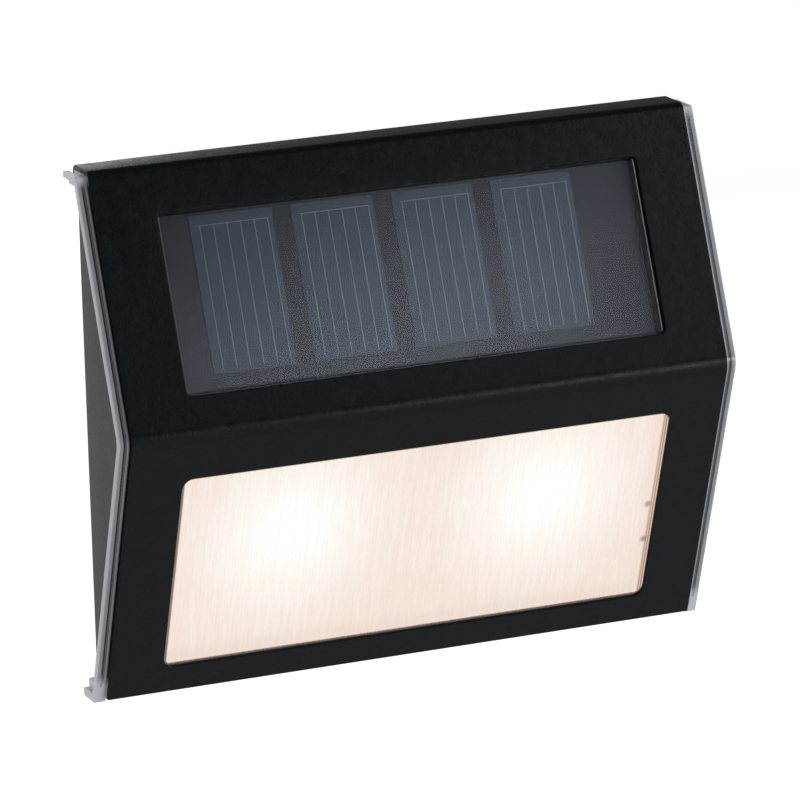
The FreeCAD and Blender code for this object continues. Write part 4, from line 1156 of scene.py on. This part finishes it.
@dataclass
class Controls:
    """Control board with its parts, the slide switch and the wires."""

    knob: tuple[float, float, float, float] = (0.5, 2.5, -3.0, -0.3)        # left, right, root, tip
    knob_z: tuple[float, float] = (-30.2, -27.8)
    knob_edge: float = 0.12
    ridges: int = 4
    ridge_depth: float = 0.35
    board_front: float = -7.0
    part_z: float = -27.5
    coil: Triple = (3.0, 3.0, 0.6)              # radius, height, flange
    wire: float = 0.26
    capacitor: Triple = (9.0, 2.0, 3.3)         # x, radius, height
    part_edge: float = 0.1
    screw_edge: float = 0.08

    def slider(self) -> None:
        """Build the knob with the ridges that a fingernail pushes."""
        left, right, root, tip = self.knob
        low, high = self.knob_z
        valley = tip - self.ridge_depth
        step = (right - left) / self.ridges
        outline = [(left, root), (right, root)]
        for ridge in range(self.ridges):
            x = right - ridge * step
            outline += [(x, valley), (x - 0.3 * step, tip), (x - 0.7 * step, tip)]
        outline.append((left, valley))
        middle, edge = (left + right) / 2, self.knob_edge
        rings = [[Vector((middle + (x - middle) * (1 - inset), root + (y - root) * (1 - inset / 3), z)) * MM
                  for x, y in outline]
                 for z, inset in ((low, edge), (low + edge, 0.0), (high - edge, 0.0), (high, edge))]
        knob = Piece.make("slide_knob", Piece.loft(rings), Look.NYLON, KNOB, "knob_plastic", 25.0)
        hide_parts("switch_knob")
        LOG.info("slide_knob: %d ridges", self.ridges)

    def lathe(self, x: float) -> Lathe:
        """Return an axis that stands on the board."""
        return Lathe((x, self.board_front, self.part_z), (0, -1, 0), 48, HOUSING)

    def wound(self) -> None:
        """Build the drum and the turns of wire between its flanges, and the can with its crimp."""
        r, height, flange = self.coil
        drum = self.lathe(0.0).turn("ferrite_drum", [
            (r - 0.12, 0.0), (r, 0.1), (r, flange - 0.1), (r - 0.1, flange), (r / 2, flange),
            (r / 2, height - flange), (r - 0.1, height - flange), (r, height - flange + 0.1),
            (r, height - 0.1), (r - 0.12, height)], Look.FERRITE, "ferrite")
        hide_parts("storage_coil")
        turns = int((height - 2 * flange) / self.wire)
        profile = [(r / 2 + 0.05, flange + 0.02)]
        for turn in range(turns):
            middle = flange + 0.02 + (turn + 0.5) * self.wire
            for angle in (-75, -40, 0, 40, 75):
                profile.append((r - 0.5 + self.wire / 2 * math.cos(math.radians(angle)),
                                middle + self.wire / 2 * math.sin(math.radians(angle))))
        profile.append((r / 2 + 0.05, profile[-1][1]))
        self.lathe(0.0).turn("coil_winding", profile, Look.COPPER, "ferrite")
        x, radius, tall = self.capacitor
        can = self.lathe(x).turn("capacitor_can", [
            (radius - 0.2, 0.0), (radius, 0.12), (radius, 0.5), (radius - 0.18, 0.65),
            (radius - 0.18, 0.75), (radius, 0.9), (radius, tall - 0.25), (radius - 0.2, tall),
            (radius - 0.5, tall - 0.05)], Look.ALUMINIUM, "aluminium_can")
        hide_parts("smoothing_capacitor")
        LOG.info("coil with %d turns, capacitor", turns)

    def build(self) -> None:
        """Dress the board's pieces and the wires."""
        dress(Look.MASK, "control_board")
        dress(Look.ZINC, "board_screws", round_mm=self.screw_edge)
        dress(Look.EPOXY, "control_chip", round_mm=self.part_edge)
        self.wound()
        dress(Look.TIN, "switch_body", round_mm=self.part_edge)
        self.slider()
        for route in ("panel", "led", "battery"):
            dress(Look.RED_PVC, f"{route}_wire_red")
            dress(Look.BLACK_PVC, f"{route}_wire_black")


# ------------------------------------------------------------------ floor, light and camera

@dataclass(frozen=True)
class SoftBox:
    """A lamp with a rectangular face that looks at the light."""

    name: str
    place: Triple
    size: tuple[float, float]
    watts: float
    aim: Triple = (0.0, -0.01, -0.015)

    def build(self) -> None:
        """Set up the lamp."""
        data = bpy.data.lights.new(self.name, "AREA")
        data.shape = "RECTANGLE"
        data.size, data.size_y = self.size
        data.energy = self.watts
        lamp = bpy.data.objects.new(self.name, data)
        lamp.location = self.place
        lamp.rotation_euler = (Vector(self.aim) - Vector(self.place)).to_track_quat("-Z", "Y").to_euler()
        bpy.context.scene.collection.objects.link(lamp)


@dataclass
class Studio(Graph):
    """White surroundings, soft lamps and the photograph's camera."""

    position: Triple = (-0.3864, -0.9128, 0.2437)
    right: Triple = (0.9165, -0.3992, -0.0249)
    downward: Triple = (-0.1247, -0.2262, -0.9661)
    lens_mm: float = 257.76
    sensor_mm: float = 36.0
    floor_z: float = -0.34
    near_y: float = -2.0
    far_y: float = 1.4
    side_x: float = 2.5
    backdrop_z: float = 2.2
    backdrop_edge: float = 0.47     # right of it the top flange mirrors the dim world
    floor_keep: float = 0.78
    backdrop_keep: float = 1.0
    world: float = 0.16
    lamps: tuple[SoftBox, ...] = (
        SoftBox("back_box", (-0.7, 0.75, 0.8), (0.8, 0.5), 3.0),
        SoftBox("left_box", (-1.3, -0.4, 0.3), (0.6, 1.0), 4.5),
        SoftBox("right_box", (0.86, -0.75, 0.5), (0.45, 0.6), 6.0),
        SoftBox("front_strip", (1.02, -1.46, -0.03), (0.8, 0.35), 8.5),             # a band along the knee
        SoftBox("panel_glint", (0.61, -1.348, 0.648), (0.21, 0.12), 0.33))          # a veil on the cells

    def seen(self, *rays: str) -> Node:
        """Tell which rays see plain white.

        Rays that have left a matt surface don't, so that the white doesn't light what is behind glass.

        Args:
            rays: the Light Path outputs of the rays that do.

        Returns:
            A node that is 1 for them.
        """
        path = self.add("LightPath").outputs
        chosen: Source = path[rays[0]]
        for ray in rays[1:]:
            chosen = self.add("Math", {"operation": "MAXIMUM"}, {0: chosen, 1: path[ray]})
        first = self.add("Math", {"operation": "LESS_THAN", 1: 0.5}, {0: path["Diffuse Depth"]})
        return self.add("Math", {"operation": "MULTIPLY"}, {0: chosen, 1: first})

    def white(self, name: str, keep: float) -> Material:
        """Make a material that is white to the camera and in reflections, and dull for the rest.

        Args:
            name: the material's name.
            keep: the share of this white that shadows leave.

        Returns:
            The material.
        """
        paint = bpy.data.materials.new(name)
        self.open(paint)
        seen = self.seen("Is Camera Ray", "Is Glossy Ray", "Is Transmission Ray")
        part = self.add("Math", {"operation": "MULTIPLY", 1: keep}, {0: seen})
        dull = self.add("BsdfDiffuse", {"Color": srgb("F0F0F0")})
        glow = self.add("Emission", {"Color": (1, 1, 1, 1)}, {"Strength": part})
        both = self.add("AddShader", links={0: dull, 1: glow})
        self.add("OutputMaterial", links={"Surface": both})
        return paint

    def panel(self, name: str, corners: list[Triple], keep: float) -> None:
        """Put up a flat piece of the studio.

        Args:
            name: its name.
            corners: its four corners.
            keep: the share of its white that shadows leave.
        """
        mesh = bpy.data.meshes.new(name)
        mesh.from_pydata(corners, [], [[0, 1, 2, 3]])
        mesh.materials.append(self.white(name, keep))
        board = bpy.data.objects.new(name, mesh)
        bpy.context.scene.collection.objects.link(board)

    def surroundings(self) -> None:
        """Put the floor below the light and the backdrop behind it, and light the world."""
        near, far, side, low, high = self.near_y, self.far_y, self.side_x, self.floor_z, self.backdrop_z
        edge = self.backdrop_edge
        self.panel("studio_floor", [(-side, near, low), (side, near, low), (side, far, low),
                                    (-side, far, low)], self.floor_keep)
        self.panel("studio_backdrop", [(-side, far, low), (edge, far, low), (edge, far, high),
                                       (-side, far, high)], self.backdrop_keep)
        bpy.context.scene.world = bpy.data.worlds.new("studio")
        self.open(bpy.context.scene.world)
        seen = self.seen("Is Camera Ray", "Is Transmission Ray")
        dim, full = (self.add("Background", {"Color": (1, 1, 1, 1), "Strength": strength})
                     for strength in (self.world, 1.0))
        self.add("OutputWorld", links={"Surface": self.add("MixShader", links={0: seen, 1: dim, 2: full})})

    def camera(self) -> None:
        """Set up the photograph's camera."""
        data = bpy.data.cameras.new("camera")
        data.lens = self.lens_mm
        data.sensor_width = self.sensor_mm
        data.sensor_fit = "HORIZONTAL"
        data.clip_start, data.clip_end = 0.05, 20.0
        right = Vector(self.right).normalized()
        up = (-Vector(self.downward)).normalized()
        back = right.cross(up).normalized()
        up = back.cross(right)
        matrix = Matrix((right, up, back)).transposed().to_4x4()
        matrix.translation = Vector(self.position)
        camera = bpy.data.objects.new("camera", data)
        camera.matrix_world = matrix
        bpy.context.scene.collection.objects.link(camera)
        bpy.context.scene.camera = camera

    def build(self) -> None:
        """Set the stage."""
        self.surroundings()
        for lamp in self.lamps:
            lamp.build()
        self.camera()
        bpy.context.scene.view_settings.view_transform = "Standard"


def main() -> None:
    """Build every sub-assembly and set the stage."""
    logging.basicConfig(level=logging.INFO, format="%(name)s: %(message)s")
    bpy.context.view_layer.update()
    Studio().build()
    for assembly in (Cover(), Shell(), SolarPanel(), Lamp(), Housing(), PowerBay(), Controls()):
        assembly.build()
        LOG.info("%s is built", type(assembly).__name__)


if __name__ == "__main__":
    main()
